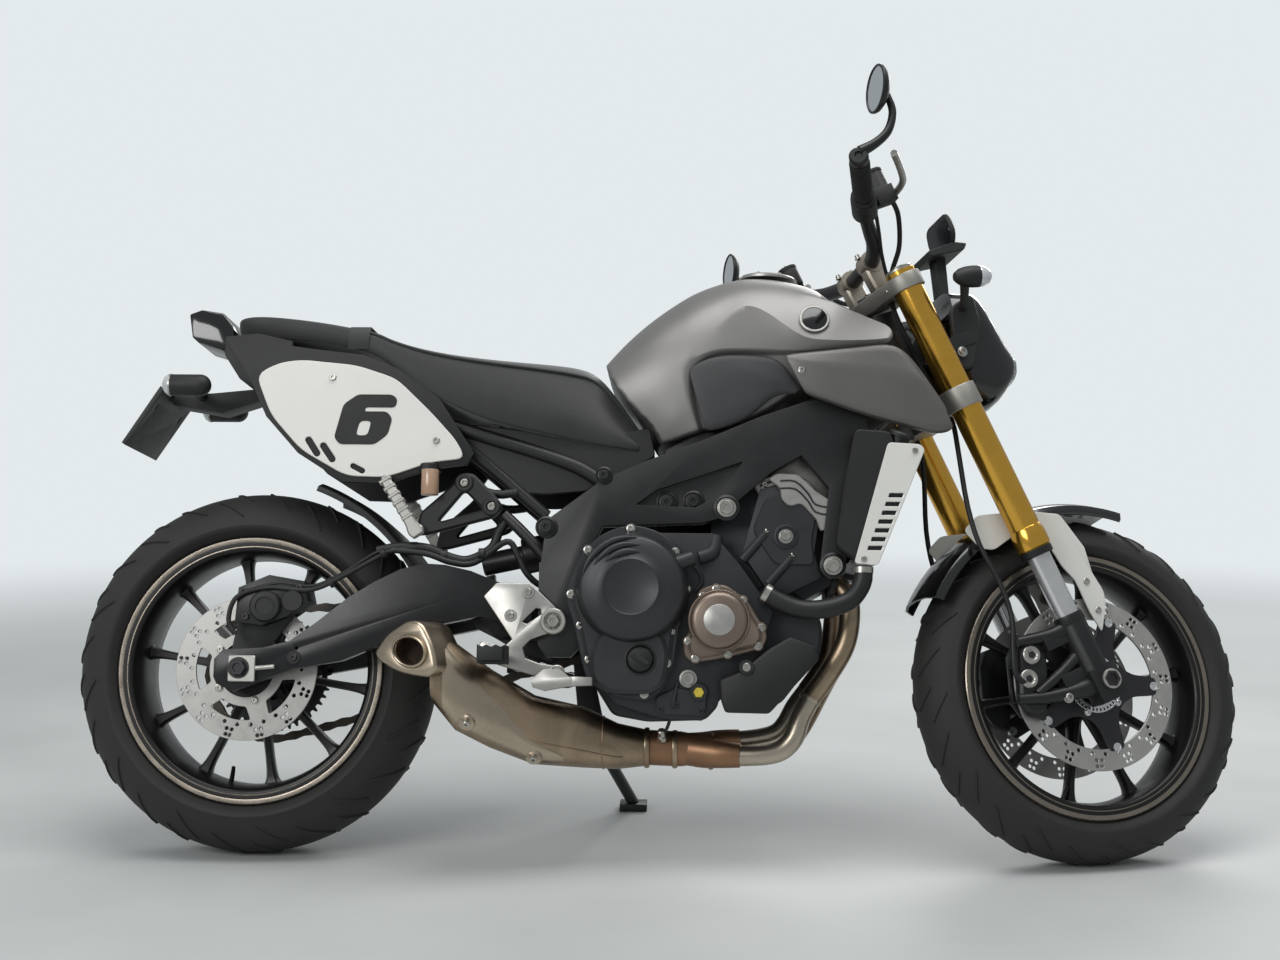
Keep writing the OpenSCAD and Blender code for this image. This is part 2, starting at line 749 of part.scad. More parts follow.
module tail_lamp() {
    color([0.1, 0.1, 0.1])
        parked()
            slab([[-142, 950], [-120, 958], [-80, 952], [-62, 928], [-58 - seat_gap, 912],
                [-58 - seat_gap, 884], [-78, 884],
                [-124, 898], [-135, 908]], -60, 60);
}

module rear_indicators() {
    color([0.1, 0.1, 0.1])
        parked()
            both() {
                rod([-120, 84, 806], [-120, 112, 806], 6);
                rod([-146, 130, 806], [-96, 130, 806], 19);
                translate([-96, 130, 806])
                    sphere(r = 19);
            }
}

module plate_holder() {
    color([0.06, 0.06, 0.06])
        parked() {
            slab([[-29, 819.3], [-5, 813], [-12, 800], [-84, 776], [-172, 790], [-180, 808], [-100, 812]],
                -26, 26);
            cross_bar(-120, 806, 9, -84 + seat_gap, 84 - seat_gap);
            difference() {
                slab([[-172, 806], [-178, 812], [-242, 710], [-236, 706]], -92, 92);
                for (y = [-70, 70])
                    rod([-180, y, 785], [-240, y, 747], 3);
            }
        }
}

// Rear end

module swingarm() {
    color([0.09, 0.09, 0.09])
        parked()
            difference() {
                union() {
                    both()
                        slab([[-44, 300], [-38, 288], [-10, 276], [87, 314], [172, 330], [306, 386],
                            [408, 408], [494, 380],
                            [494, 425], [440, 464], [389, 484], [345, 494], [310, 496], [269, 486],
                            [225, 464], [180, 436],
                            [128, 394], [84, 362], [38, 350], [-30, 346], [-44, 330]], arm_in, arm_out);
                    both()
                        slab([[400, 408], [430, 372], [510, 368], [562, 385], [566, 415], [540, 430],
                            [440, 431], [400, 431]],
                            86, 112);
                    both()
                        slab([[404, 408], [440, 374], [490, 382], [490, 424], [440, 430], [410, 430]],
                            84, 121);
                    slab([[384, 428], [404, 409], [440, 409], [446, 431], [386, 431]], -120, 120);
                    slab([[392, 428], [420, 428], [414, 490.4], [400, 487]], -14, 14);
                    slab([[450, 428], [530, 428], [530, 440.4], [450, 438.2]], 98, 112);
                    cross_bar(0, rear_axle_z, axle_r, -164, 164);
                    both()
                        cross_bar(0, rear_axle_z, 21, arm_out - 2, 158);
                }
                cross_bar(pivot_x, pivot_z, 12 + seat_gap, -200, 200);
                both()
                    cross_bar(96, 350, 3, 130, 160);
            }
}

module rear_shock() {
    color([0.2, 0.2, 0.2])
        parked() {
            rod([392, 0, 508], [470, 0, 525], 20);
            rod([465, 0, 524], [544.8, 0, 541.6], 32);
        }
}

module rear_hugger() {
    color([0.05, 0.05, 0.05])
        rear_axle_space()
            rotate([0, 0, -70])
                rotate_extrude(angle = 41, $fn = 90)
                    polygon([for (p = [[13, seat_gap - arm_in], [23, seat_gap - arm_in], [30, -96], [32, 0],
                        [30, 96], [23, arm_in - seat_gap], [13, arm_in - seat_gap], [26, 94], [28, 0],
                        [26, -94]]) [rear_tyre_r + p[0], p[1]]]);
}

module rear_caliper() {
    color([0.08, 0.08, 0.08])
        parked()
            difference() {
                union() {
                    slab([[-12, 394], [34, 388], [76, 404], [112, 430], [104, 464], [44, 474], [-8, 452]],
                        -148, -76);
                    slab([[-24, 300], [24, 300], [40, 352], [80, 404], [40, 440], [-8, 430], [-24, 340]],
                        -118.7, -108.8);
                }
                cross_bar(0, rear_axle_z, rear_disc_r + pad_gap, -rear_disc_z - disc_t - pad_gap,
                    -rear_disc_z + pad_gap);
                cross_bar(0, rear_axle_z, axle_r + seat_gap, -130, -100);
            }
}

bracket_in = spar_out + seat_gap;
bracket_out = bracket_in + 13;

module rider_brackets() {
    color([0.75, 0.74, 0.72])
        parked()
            both()
                difference() {
                    slab([[413, 440], [434, 463], [492, 463], [528, 430], [546, 413], [549, 395],
                        [533, 382], [494, 368],
                        [481, 355], [486, 337], [508, 329], [534, 325], [552, 320], [552, 303], [539, 298],
                        [473, 315],
                        [440, 325], [416, 339], [406, 351], [410, 364], [422, 364], [446, 352], [463, 368],
                        [454, 381]],
                        bracket_in, bracket_out);
                    slab([[479, 398], [487, 394], [512, 411], [510, 420], [502, 421]],
                        bracket_in - 5, bracket_out + 5);
                }
}

module rider_pegs() {
    color([0.12, 0.12, 0.12])
        parked()
            both() {
                rod([440, bracket_out + seat_gap, 338], [440, 200, 338], 11);
                translate([420, 198, 328])
                    cube([40, 82, 22]);
            }
}

module brake_pedal() {
    color([0.7, 0.69, 0.67])
        parked() {
            slab([[498, 300], [502, 287], [520, 282], [562, 290], [586, 291], [586, 305], [562, 306],
                [546, 318],
                [520, 318]], -189, -bracket_out - seat_gap);
            slab([[570, 290], [602, 291], [602, 304], [570, 305]], -224, -184);
        }
}

module shift_lever() {
    color([0.3, 0.3, 0.3])
        parked() {
            slab([[512, 296], [536, 296], [640, 330], [640, 344], [530, 322], [512, 318]],
                bracket_out + seat_gap, 178);
            cross_bar(632, 337, 9, 177, 236);
        }
}

module brake_reservoir() {
    color([0.75, 0.5, 0.35])
        parked()
            translate([314, -145 - seat_gap, 614])
                cylinder(r = 15, h = 44);
}

module passenger_pegs() {
    color([0.7, 0.69, 0.67])
        parked()
            both() {
                slab([[300, 628], [330, 634], [412, 606], [452, 645], [484, 616], [446, 578], [420, 576],
                    [330, 548],
                    [290, 545]], 117, 130);
                cross_bar(462, 626, 9, 111 + seat_gap, 118);
                rod([292, 139 + seat_gap, 560], [246, 142, 628], 9);
            }
}

// Side stand, drawn on the floor

module side_stand() {
    p = park(stand_pivot);
    ax = park(stand_pivot + stand_axis) - p;
    foot = [foot_x - origin_x, foot_y - origin_y, 0];
    color([0.1, 0.1, 0.1]) {
        rod(p - 12 * ax, p + 26 * ax, stand_pin_r);
        rod(p + 12 * ax, p + 28 * ax, 17);
        rod(p + 20 * ax, foot + [0, 0, 12], stand_leg_r);
        translate(foot - [26, 22, 0])
            cube([52, 44, 14]);
    }
}

// Front end in fork space

tube_foot = 560;
tube_top = 1105;
slider_foot = 425;
foot_low = 330;

module fork_tubes() {
    color([0.72, 0.55, 0.22])
        fork_space()
            both()
                translate([fork_offset, fork_half, tube_foot])
                    cylinder(r = fork_tube_r, h = tube_top - tube_foot);
}

module fork_sliders() {
    color([0.8, 0.8, 0.8])
        fork_space()
            both()
                translate([fork_offset, fork_half, slider_foot])
                    cylinder(r = slider_r, h = tube_foot - slider_foot);
}

module fork_feet() {
    color([0.07, 0.07, 0.07])
        fork_space() {
            both()
                translate([fork_offset, fork_half, 0])
                    difference() {
                        union() {
                            translate([0, 0, foot_low])
                                cylinder(r = 25, h = slider_foot + 17 - foot_low);
                            translate([-22, -21, 282])
                                cube([52, 44, 60]);
                            translate([-66, -14, 330])
                                cube([60, 22, 24]);
                            translate([-66, -14, 400])
                                cube([60, 22, 24]);
                        }
                        translate([0, 0, slider_foot - seat_gap])
                            cylinder(r = slider_r + seat_gap, h = 40);
                    }
            translate([axle_out, 0, axle_up])
                rotate([-90, 0, 0])
                    translate([0, 0, -fork_half - 26])
                        cylinder(r = axle_r, h = 2 * fork_half + 52);
        }
}

module yoke(z, t, wide) {
    difference() {
        hull() {
            for (y = [-fork_half, fork_half])
                translate([fork_offset, y, z])
                    cylinder(r = fork_tube_r + 5, h = t, $fn = 32);
            translate([0, 0, z])
                cylinder(r = wide, h = t, $fn = 32);
        }
        for (y = [-fork_half, fork_half])
            translate([fork_offset, y, z - 1])
                cylinder(r = fork_tube_r + 0.05, h = t + 2);
    }
}

module yokes() {
    color([0.6, 0.59, 0.57])
        fork_space() {
            yoke(836, 40, 34);
            yoke(1068, 28, 34);
            translate([0, 0, 840])
                cylinder(r = stem_r, h = 260);
        }
}

bar_knee = 200;
function bar_pt(y) = [-42 - (y - bar_knee) * 0.38, y, 1196 + (y - bar_knee) * 0.235];

module handlebar() {
    half = [[8, 60, 1150], [-6, 120, 1162], [-24, 160, 1180], bar_pt(bar_knee), bar_pt(bar_knee + 12)];
    rest = [for (i = [len(half) - 1 : -1 : 0]) flip(half[i])];
    end = bar_pt(bar_half - 6);
    color([0.14, 0.13, 0.12])
        fork_space() {
            pipe(concat([flip(end)], smooth(concat(rest, half), 3), [end]), bar_r, [0, 0, 1]);
            both()
                translate([-8, 34, 1096 + seat_gap])
                    cube([36, 30, 74]);
        }
}

module grips() {
    color([0.05, 0.05, 0.05])
        fork_space()
            both()
                difference() {
                    rod(bar_pt(268), bar_pt(bar_half - 8), 16);
                    rod(bar_pt(250), bar_pt(bar_half + 20), bar_r + 0.5);
                }
}

module bar_controls() {
    color([0.08, 0.08, 0.08])
        fork_space()
            both()
                difference() {
                    union() {
                        rod(bar_pt(216), bar_pt(262), 22);
                        translate([-30, 216, 1196])
                            cube([37.6, 26, 30]);
                        translate([-8, 222, 1222])
                            cylinder(r = 18, h = 34);
                    }
                    rod(bar_pt(bar_knee), bar_pt(300), bar_r + 0.5);
                }
}

module levers() {
    color([0.65, 0.65, 0.65])
        fork_space()
            both()
                pipe(smooth([[14, 216, 1210], [15, 262, 1214], [-10, 316, 1222], [-44, 376, 1234]],
                    4), 6, [0, 0, 1], 10);
}

module mirrors() {
    end = bar_pt(bar_half);
    color([0.06, 0.06, 0.06])
        fork_space()
            both() {
                rod(bar_pt(bar_half - 6 + seat_gap), bar_pt(bar_half + 12), 15);
                pipe(smooth([end + [0, 6, 6], end + [54, 14, 22], end + [90, 16, 48], end + [92, 16, 88]],
                    4), 7,
                    [0, 1, 0.2], 10);
                translate(end + [84, 14, 92])
                    rotate([0, 75, 0])
                        cylinder(r = mirror_r, h = 16);
            }
}

module headlight() {
    color([0.06, 0.06, 0.06])
        turned() {
            body(back(smooth([[-228, 0, 930, 72, 81, 3.4, 3], [-204, 0, 908, 83, 103, 3.4, 3],
                [-180, 0, 903, 88, 108, 3.2, 3], [-156, 0, 884, 87, 92, 3, 3], [-134, 0, 868, 83, 60, 3, 3],
                [-118, 0, 867, 77, 34, 3, 3]], 2)), 28);
            cross_bar(-222, 960, 10, -90, 90);
        }
    color([0.06, 0.06, 0.06])
        fork_space()
            both()
                translate([fork_offset + fork_tube_r + seat_gap, 68, 940])
                    cube([52, 32, 24]);
}

module headlight_lens() {
    color([0.8, 0.82, 0.84])
        turned()
            body([[-102, 0, 869, 56, 20, 3, 3], [-108, 0, 868, 68, 27, 3, 3],
                [-118 + seat_gap, 0, 867, 72, 30, 3, 3]], 28);
}

module instrument() {
    color([0.05, 0.05, 0.05])
        turned()
            {
                slab([[-218, 1164], [-208, 1166], [-178, 1110], [-188, 1098], [-250, 1078], [-256, 1088],
                    [-204, 1112]],
                    -66, 66);
                slab([[-226, 1011 + seat_gap], [-206, 1011 + seat_gap], [-212, 1094], [-232, 1086]], -14, 14);
            }
}

module front_indicators() {
    color([0.1, 0.1, 0.1])
        turned()
            both() {
                cross_bar(-222, 960, 7, 90 + seat_gap, 102);
                rod([-222, 98, 960], [-222, 130, 990], 7);
                rod([-246, 142, 1000], [-198, 142, 1006], 19);
            }
}

module front_fender() {
    color([0.05, 0.05, 0.05]) {
        front_axle_space()
            rotate([0, 0, -154])
                rotate_extrude(angle = 78, $fn = 90)
                    polygon([for (p = [[0, -68], [4, -72], [18, -66], [27, -40], [30, 0], [27, 40],
                        [18, 66], [4, 72],
                        [0, 68], [14, 62], [23, 38], [26, 0], [23, -38], [14, -62]]) [front_tyre_r + p[0],
                        p[1]]]);
        turned()
            both()
                cross_bar(-136, 574, 10, 66, fork_half - fork_tube_r - seat_gap);
    }
}

module fender_stays() {
    color([0.78, 0.78, 0.76])
        turned()
            both()
                slab([[-114, 548], [-106, 588], [-44, 592], [-4, 540], [14, 472], [-2, 466], [-30, 530],
                    [-65, 556]], 72 + seat_gap, 77);
}

module front_calipers() {
    color([0.07, 0.07, 0.07])
        turned()
            both()
                difference() {
                    slab([[-124, 380], [-106, 368], [-98, 300], [-104, 232], [-134, 240], [-150, 262],
                        [-154, 340],
                        [-142, 372]], 50, 90);
                    cross_bar(0, front_axle_z, front_disc_r + pad_gap, front_disc_z - pad_gap,
                        front_disc_z + disc_t + pad_gap);
                }
}

// Hose from the low yoke behind each leg to its caliper
module brake_hoses() {
    color([0.06, 0.06, 0.06])
        fork_space()
            both()
                pipe(concat(smooth([[6, 74, 836 - seat_gap], [4, 74, 815], [-16, 78, 760], [-48, 90, 680],
                    [-64, 98, 610], [-62, 101, 545], [-70, 102, 480], [-96, 104, 428], [-112, 105, 392],
                    [-104, 101, 372], [-98, 96, 369]], 3), [[-98, 93, 369], [-98, 90 + seat_gap, 369]]),
                    4.5, [1, 0, 0], 10);
}

frame();
subframe();
engine();
head_cover();
clutch_cover();
ignition_cover();
left_covers();
airbox();
radiator();
radiator_guards();
coolant_hose();
coolant_tank();
exhaust_pipes();
muffler();
fuel_tank();
tank_covers();
side_scoops();
seat();
tail_unit();
number_panels();
tail_lamp();
rear_indicators();
plate_holder();
swingarm();
rear_shock();
rear_hugger();
chain();
rear_caliper();
rider_brackets();
rider_pegs();
brake_pedal();
shift_lever();
brake_reservoir();
passenger_pegs();
side_stand();
fork_tubes();
fork_sliders();
fork_feet();
yokes();
handlebar();
grips();
bar_controls();
levers();
mirrors();
headlight();
headlight_lens();
instrument();
front_indicators();
front_fender();
fender_stays();
front_calipers();
brake_hoses();
front_tyre();
front_rim();
front_discs();
rear_tyre();
rear_rim();
rear_disc();
rear_sprocket();
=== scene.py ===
import json
import math

import bmesh
import bpy
from mathutils import Matrix, Vector


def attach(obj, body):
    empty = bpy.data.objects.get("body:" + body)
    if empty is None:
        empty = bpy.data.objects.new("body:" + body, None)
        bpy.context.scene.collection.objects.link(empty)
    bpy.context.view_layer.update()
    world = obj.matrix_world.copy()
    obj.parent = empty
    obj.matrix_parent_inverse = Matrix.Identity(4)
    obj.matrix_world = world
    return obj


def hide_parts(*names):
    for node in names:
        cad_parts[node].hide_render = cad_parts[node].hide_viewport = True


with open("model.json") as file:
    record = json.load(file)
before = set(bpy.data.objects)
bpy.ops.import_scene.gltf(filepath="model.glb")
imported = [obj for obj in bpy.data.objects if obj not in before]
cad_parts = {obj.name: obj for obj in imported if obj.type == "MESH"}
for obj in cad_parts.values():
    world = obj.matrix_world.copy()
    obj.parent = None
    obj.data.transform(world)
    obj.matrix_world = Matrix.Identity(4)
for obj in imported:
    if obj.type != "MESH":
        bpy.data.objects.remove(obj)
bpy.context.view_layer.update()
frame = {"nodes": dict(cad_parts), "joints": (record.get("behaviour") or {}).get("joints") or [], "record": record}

bl_info = {
    "name": "Standard motorcycle",
    "version": (1, 0, 0),
    "blender": (4, 5, 0),
    "location": "View3D > Sidebar > Motorcycle",
    "description": "Builds the surfaces and fine detail of a parked standard motorcycle around its solids",
    "category": "Object",
}

JOINTS = {joint["name"]: joint for joint in frame["joints"]}
MM = 0.001


# Spaces: the upright bike, the turned front end, the fork and the two wheels, all in millimetres.

def axes(x, y, z, origin):
    """Matrix from millimetres along three axes to the frame's metres."""
    turn = Matrix((x, y, z)).transposed().to_4x4()
    return Matrix.Translation(origin) @ turn @ Matrix.Scale(MM, 4)


def joint_axis(name):
    return Vector(JOINTS[name]["axis"]).normalized()


def joint_place(name):
    return Vector(JOINTS[name]["pos_m"])


RAKE = math.radians(25)
REAR_RADIUS = 315
FRONT_RADIUS = 300
WHEELBASE = 1440
TRAIL = 103
FORK_HALF = 105
FORK_OFFSET = 25

LEFT = joint_axis("rear_wheel_spin")
STEER_UP = joint_axis("steering")
FORK_AHEAD = LEFT.cross(STEER_UP).normalized()
AHEAD = (math.cos(RAKE) * FORK_AHEAD - math.sin(RAKE) * STEER_UP).normalized()
UP = AHEAD.cross(LEFT)
BIKE = axes(AHEAD, LEFT, UP, joint_place("rear_wheel_spin") - UP * REAR_RADIUS * MM)
WHEEL_LEFT = joint_axis("front_wheel_spin")
TURNED_AHEAD = WHEEL_LEFT.cross(STEER_UP).normalized()
STEER_FOOT = BIKE @ Vector((WHEELBASE + TRAIL, 0, 0))
FORK = axes(TURNED_AHEAD, WHEEL_LEFT, STEER_UP, STEER_FOOT)
TURNED = FORK @ Matrix.Rotation(RAKE, 4, "Y") @ Matrix.Translation((-WHEELBASE - TRAIL, 0, 0))
LIE = Matrix.Rotation(-math.pi / 2, 4, "X")
REAR_WHEEL = BIKE @ Matrix.Translation((0, 0, REAR_RADIUS)) @ LIE
FRONT_WHEEL = TURNED @ Matrix.Translation((WHEELBASE, 0, FRONT_RADIUS)) @ LIE


# Sizes and colours

def tone(code):
    """Linear colour from a hex code."""
    parts = [int(code[i:i + 2], 16) / 255 for i in (0, 2, 4)]
    return tuple(p / 12.92 if p <= 0.04045 else ((p + 0.055) / 1.055) ** 2.4 for p in parts)


def colour(name, description, code):
    return bpy.props.FloatVectorProperty(
        name=name, description=description, default=tone(code), size=3, min=0, max=1, subtype="COLOR")


class BikeColours(bpy.types.PropertyGroup):
    """Colours of the motorcycle's finishes."""

    paint: colour("Paint", "Satin grey of the tank and its covers", "858381")
    panel: colour("Panel", "Matt charcoal of the knee panels and scoops", "3a3a3b")
    gold: colour("Gold", "Anodised fork tubes", "e0ad4a")
    bronze: colour("Bronze", "Painted ignition cover", "83756a")
    exhaust: colour("Exhaust", "Heat tinted steel of the exhaust", "9d8b76")
    plate: colour("Plate", "Number panels, guards and fender stays", "d9d8d2")
    vinyl: colour("Vinyl", "Seat cover", "1d1d1e")
    case: colour("Case", "Painted engine cases", "2e2f31")
    reservoir: colour("Reservoir", "Brake fluid pot", "a98a72")


class BikeSizes(bpy.types.PropertyGroup):
    """Sizes of the fine detail."""

    tread_pitch: bpy.props.IntProperty(
        name="Tread pitch", description="Groove sets around a tyre", default=36, min=12, max=60)


def colours():
    return bpy.context.scene.bike_colours


def sizes():
    return bpy.context.scene.bike_sizes


# Materials

def node_tree(name):
    material = bpy.data.materials.new(name)
    material.use_nodes = True
    return material, material.node_tree.nodes, material.node_tree.links


def texture(nodes, links, kind, scale, **sockets):
    """Texture on Object coordinates, its other sockets by name."""
    place = nodes.new("ShaderNodeTexCoord")
    made = nodes.new(kind)
    made.inputs["Scale"].default_value = scale
    for socket, value in sockets.items():
        made.inputs[socket].default_value = value
    links.new(place.outputs["Object"], made.inputs["Vector"])
    return made


def ramp(nodes, links, factor, stops):
    """Colour ramp from (position, colour) stops."""
    made = nodes.new("ShaderNodeValToRGB")
    elements = made.color_ramp.elements
    while len(elements) < len(stops):
        elements.new(0.5)
    for element, (position, shade) in zip(elements, stops):
        element.position = position
        element.color = (*shade, 1)
    links.new(factor, made.inputs["Fac"])
    return made


def span(nodes, links, factor, low, high):
    """Value run from low to high as the factor goes from 0.3 to 0.7."""
    made = nodes.new("ShaderNodeMapRange")
    made.inputs["From Min"].default_value = 0.3
    made.inputs["From Max"].default_value = 0.7
    made.inputs["To Min"].default_value = low
    made.inputs["To Max"].default_value = high
    links.new(factor, made.inputs["Value"])
    return made.outputs["Result"]


def relief(nodes, links, height, strength, distance):
    made = nodes.new("ShaderNodeBump")
    made.inputs["Strength"].default_value = strength
    made.inputs["Distance"].default_value = distance
    links.new(height, made.inputs["Height"])
    return made.outputs["Normal"]


def shade(base, amount):
    return tuple(max(0.0, min(1.0, c * (1 + amount))) for c in base)


def finish(name, base, rough, metal=0.0, drift=0.12, drift_scale=14, grain=0.1, grain_scale=900, wear=0.08,
           **sockets):
    """Finish with a slow colour drift, a roughness drift and a fine grain in relief."""
    material, nodes, links = node_tree(name)
    surface = nodes["Principled BSDF"]
    surface.inputs["Metallic"].default_value = metal
    for socket, value in sockets.items():
        surface.inputs[socket.replace("_", " ")].default_value = value
    slow = texture(nodes, links, "ShaderNodeTexNoise", drift_scale, Detail=6.0, Roughness=0.6)
    fine = texture(nodes, links, "ShaderNodeTexNoise", grain_scale, Detail=2.0)
    colour_ramp = ramp(nodes, links, slow.outputs["Fac"],
                       [(0.3, shade(base, -drift)), (0.7, shade(base, drift))])
    links.new(colour_ramp.outputs["Color"], surface.inputs["Base Color"])
    links.new(span(nodes, links, slow.outputs["Fac"], max(0.03, rough - wear), rough + wear),
              surface.inputs["Roughness"])
    links.new(relief(nodes, links, fine.outputs["Fac"], grain, 0.0004), surface.inputs["Normal"])
    return material


MATERIALS = {}


def paint_finishes():
    """Metallic paint, panels and plastics."""
    c = colours()
    return {
        "paint": finish("satin_paint", c.paint, 0.46, 0.7, 0.05, 6, 0.05, 2600, 0.03,
                        Coat_Weight=0.15, Coat_Roughness=0.4),
        "scoop": finish("satin_scoop", tone("6a6866"), 0.44, 0.5, 0.06, 6, 0.08, 2400, 0.04),
        "panel": finish("matt_panel", c.panel, 0.52, 0.1, 0.08, 8, 0.22, 1500, 0.05),
        "satin_black": finish("satin_black", tone("1b1b1c"), 0.42, 0.1, 0.15, 12, 0.12, 1300, 0.06),
        "black_plastic": finish("black_plastic", tone("161617"), 0.55, 0.0, 0.15, 10, 0.3, 1400, 0.06),
        "gloss_black": finish("gloss_black", tone("0d0d0e"), 0.14, 0.0, 0.1, 6, 0.02, 1800, 0.04,
                              Coat_Weight=0.6, Coat_Roughness=0.06),
        "plate": finish("pale_plate", c.plate, 0.42, 0.0, 0.03, 7, 0.05, 900, 0.05),
        "numeral": finish("numeral_black", tone("0b0b0c"), 0.55, 0.0, 0.1, 10, 0.05, 900),
        "grip_rubber": finish("grip_rubber", tone("141414"), 0.75, 0.0, 0.15, 30, 0.3, 1200),
        "tyre": finish("tyre_rubber", tone("272625"), 0.74, 0.0, 0.2, 9, 0.35, 1100, 0.08),
        "hose": finish("hose_rubber", tone("151516"), 0.5, 0.0, 0.12, 20, 0.15, 900),
    }


def metal_finishes():
    """Castings, machined and polished metal."""
    c = colours()
    return {
        "case": finish("engine_case", c.case, 0.5, 0.35, 0.12, 16, 0.3, 1100, 0.07),
        "cover": finish("cover_charcoal", tone("37383a"), 0.42, 0.45, 0.1, 16, 0.18, 1300, 0.06),
        "bronze": finish("bronze_cover", c.bronze, 0.38, 0.75, 0.1, 16, 0.16, 1300, 0.06),
        "cast": finish("raw_cast", tone("a5a29b"), 0.48, 0.8, 0.1, 30, 0.3, 900, 0.08),
        "silver": finish("polished_alloy", tone("b2b0ab"), 0.36, 0.85, 0.06, 30, 0.08, 900, 0.08),
        "steel": finish("bright_steel", tone("d4d4d5"), 0.16, 0.75, 0.04, 40, 0.03, 900, 0.05),
        "zinc": finish("zinc_bolt", tone("b9b7b0"), 0.3, 1.0, 0.1, 60, 0.1, 900, 0.1),
        "gold": finish("gold_anodised", c.gold, 0.2, 0.95, 0.05, 20, 0.04, 1500, 0.05),
        "disc": finish("brushed_disc", tone("b0aeaa"), 0.38, 0.7, 0.06, 50, 0.12, 1800, 0.08),
        "lip": finish("machined_lip", tone("8f867b"), 0.28, 0.95, 0.08, 40, 0.1, 1200, 0.08),
        "wheel": finish("wheel_black", tone("1c1b1a"), 0.34, 0.35, 0.1, 16, 0.08, 1300, 0.06),
        "chain": finish("chain_steel", tone("4d4943"), 0.45, 0.85, 0.25, 60, 0.2, 900, 0.1),
        "pewter": finish("pewter", tone("a79f92"), 0.4, 0.85, 0.08, 24, 0.15, 900, 0.06),
        "champagne": finish("champagne_steel", tone("b3a592"), 0.3, 1.0, 0.08, 12, 0.1, 900, 0.08),
        "arm_black": finish("arm_black", tone("262627"), 0.3, 0.45, 0.1, 12, 0.1, 1100, 0.05),
        "header": finish("header_steel", tone("b5ab9b"), 0.3, 0.95, 0.12, 7, 0.1, 900, 0.08),
        "heat_brown": finish("heat_brown", tone("8d6d54"), 0.4, 0.9, 0.22, 9, 0.12, 900, 0.08),
        "soot": finish("outlet_soot", tone("2a211c"), 0.5, 0.7, 0.3, 40, 0.2, 900, 0.1),
        "oil_cap": finish("oil_cap_mark", tone("c9b23a"), 0.5, 0.0, 0.1, 60, 0.1, 900),
        "graphite": finish("graphite", tone("39383a"), 0.4, 0.6, 0.1, 20, 0.15, 1100, 0.06),
    }


def clear_finishes():
    """Lenses, lamps, mirror glass and the fluid pot."""
    c = colours()
    return {
        "lens": finish("clear_lens", (0.92, 0.95, 0.97), 0.06, 0.0, 0.02, 10, 0.01, 300, 0.02,
                       Transmission_Weight=0.85, IOR=1.45),
        "red_lens": finish("tail_lens", tone("7c1713"), 0.12, 0.0, 0.06, 20, 0.05, 300, 0.03,
                           Coat_Weight=0.7, Coat_Roughness=0.05),
        "lamp": finish("lamp_lens", (0.62, 0.64, 0.66), 0.1, 0.35, 0.05, 30, 0.05, 160, 0.03,
                       Coat_Weight=0.8, Coat_Roughness=0.04),
        "glass": finish("mirror_glass", (0.78, 0.82, 0.85), 0.03, 1.0, 0.01, 10, 0.0, 300, 0.01),
        "screen": finish("screen_glass", tone("10151a"), 0.08, 0.0, 0.05, 10, 0.0, 300, 0.02),
        "fluid": finish("fluid_pot", c.reservoir, 0.2, 0.0, 0.05, 30, 0.03, 500, 0.04,
                        Coat_Weight=0.4, Coat_Roughness=0.1),
    }


def tinted_steel():
    """Exhaust steel: straw and brown heat stains over a fine grain."""
    material, nodes, links = node_tree("tinted_steel")
    surface = nodes["Principled BSDF"]
    surface.inputs["Metallic"].default_value = 1.0
    base = colours().exhaust
    stain = texture(nodes, links, "ShaderNodeTexNoise", 9, Detail=8.0, Roughness=0.62, Distortion=0.6)
    tint = ramp(nodes, links, stain.outputs["Fac"],
                [(0.28, shade(base, -0.45)), (0.46, shade(base, -0.05)), (0.62, shade(base, 0.25)),
                 (0.78, tone("b9a68e"))])
    links.new(tint.outputs["Color"], surface.inputs["Base Color"])
    links.new(span(nodes, links, stain.outputs["Fac"], 0.3, 0.44), surface.inputs["Roughness"])
    fine = texture(nodes, links, "ShaderNodeTexNoise", 700, Detail=3.0)
    links.new(relief(nodes, links, fine.outputs["Fac"], 0.12, 0.0004), surface.inputs["Normal"])
    return material


def seat_vinyl():
    """Seat cover: pebbled grain with a faint sheen."""
    material, nodes, links = node_tree("seat_vinyl")
    surface = nodes["Principled BSDF"]
    base = colours().vinyl
    surface.inputs["Sheen Weight"].default_value = 0.25
    surface.inputs["Sheen Roughness"].default_value = 0.5
    slow = texture(nodes, links, "ShaderNodeTexNoise", 18, Detail=5.0)
    tint = ramp(nodes, links, slow.outputs["Fac"], [(0.3, shade(base, -0.2)), (0.7, shade(base, 0.25))])
    links.new(tint.outputs["Color"], surface.inputs["Base Color"])
    links.new(span(nodes, links, slow.outputs["Fac"], 0.5, 0.62), surface.inputs["Roughness"])
    pebble = texture(nodes, links, "ShaderNodeTexVoronoi", 620)
    links.new(relief(nodes, links, pebble.outputs["Distance"], 0.35, 0.0006), surface.inputs["Normal"])
    return material


def build_materials():
    MATERIALS.update(paint_finishes())
    MATERIALS.update(metal_finishes())
    MATERIALS.update(clear_finishes())
    MATERIALS["exhaust"] = tinted_steel()
    MATERIALS["vinyl"] = seat_vinyl()


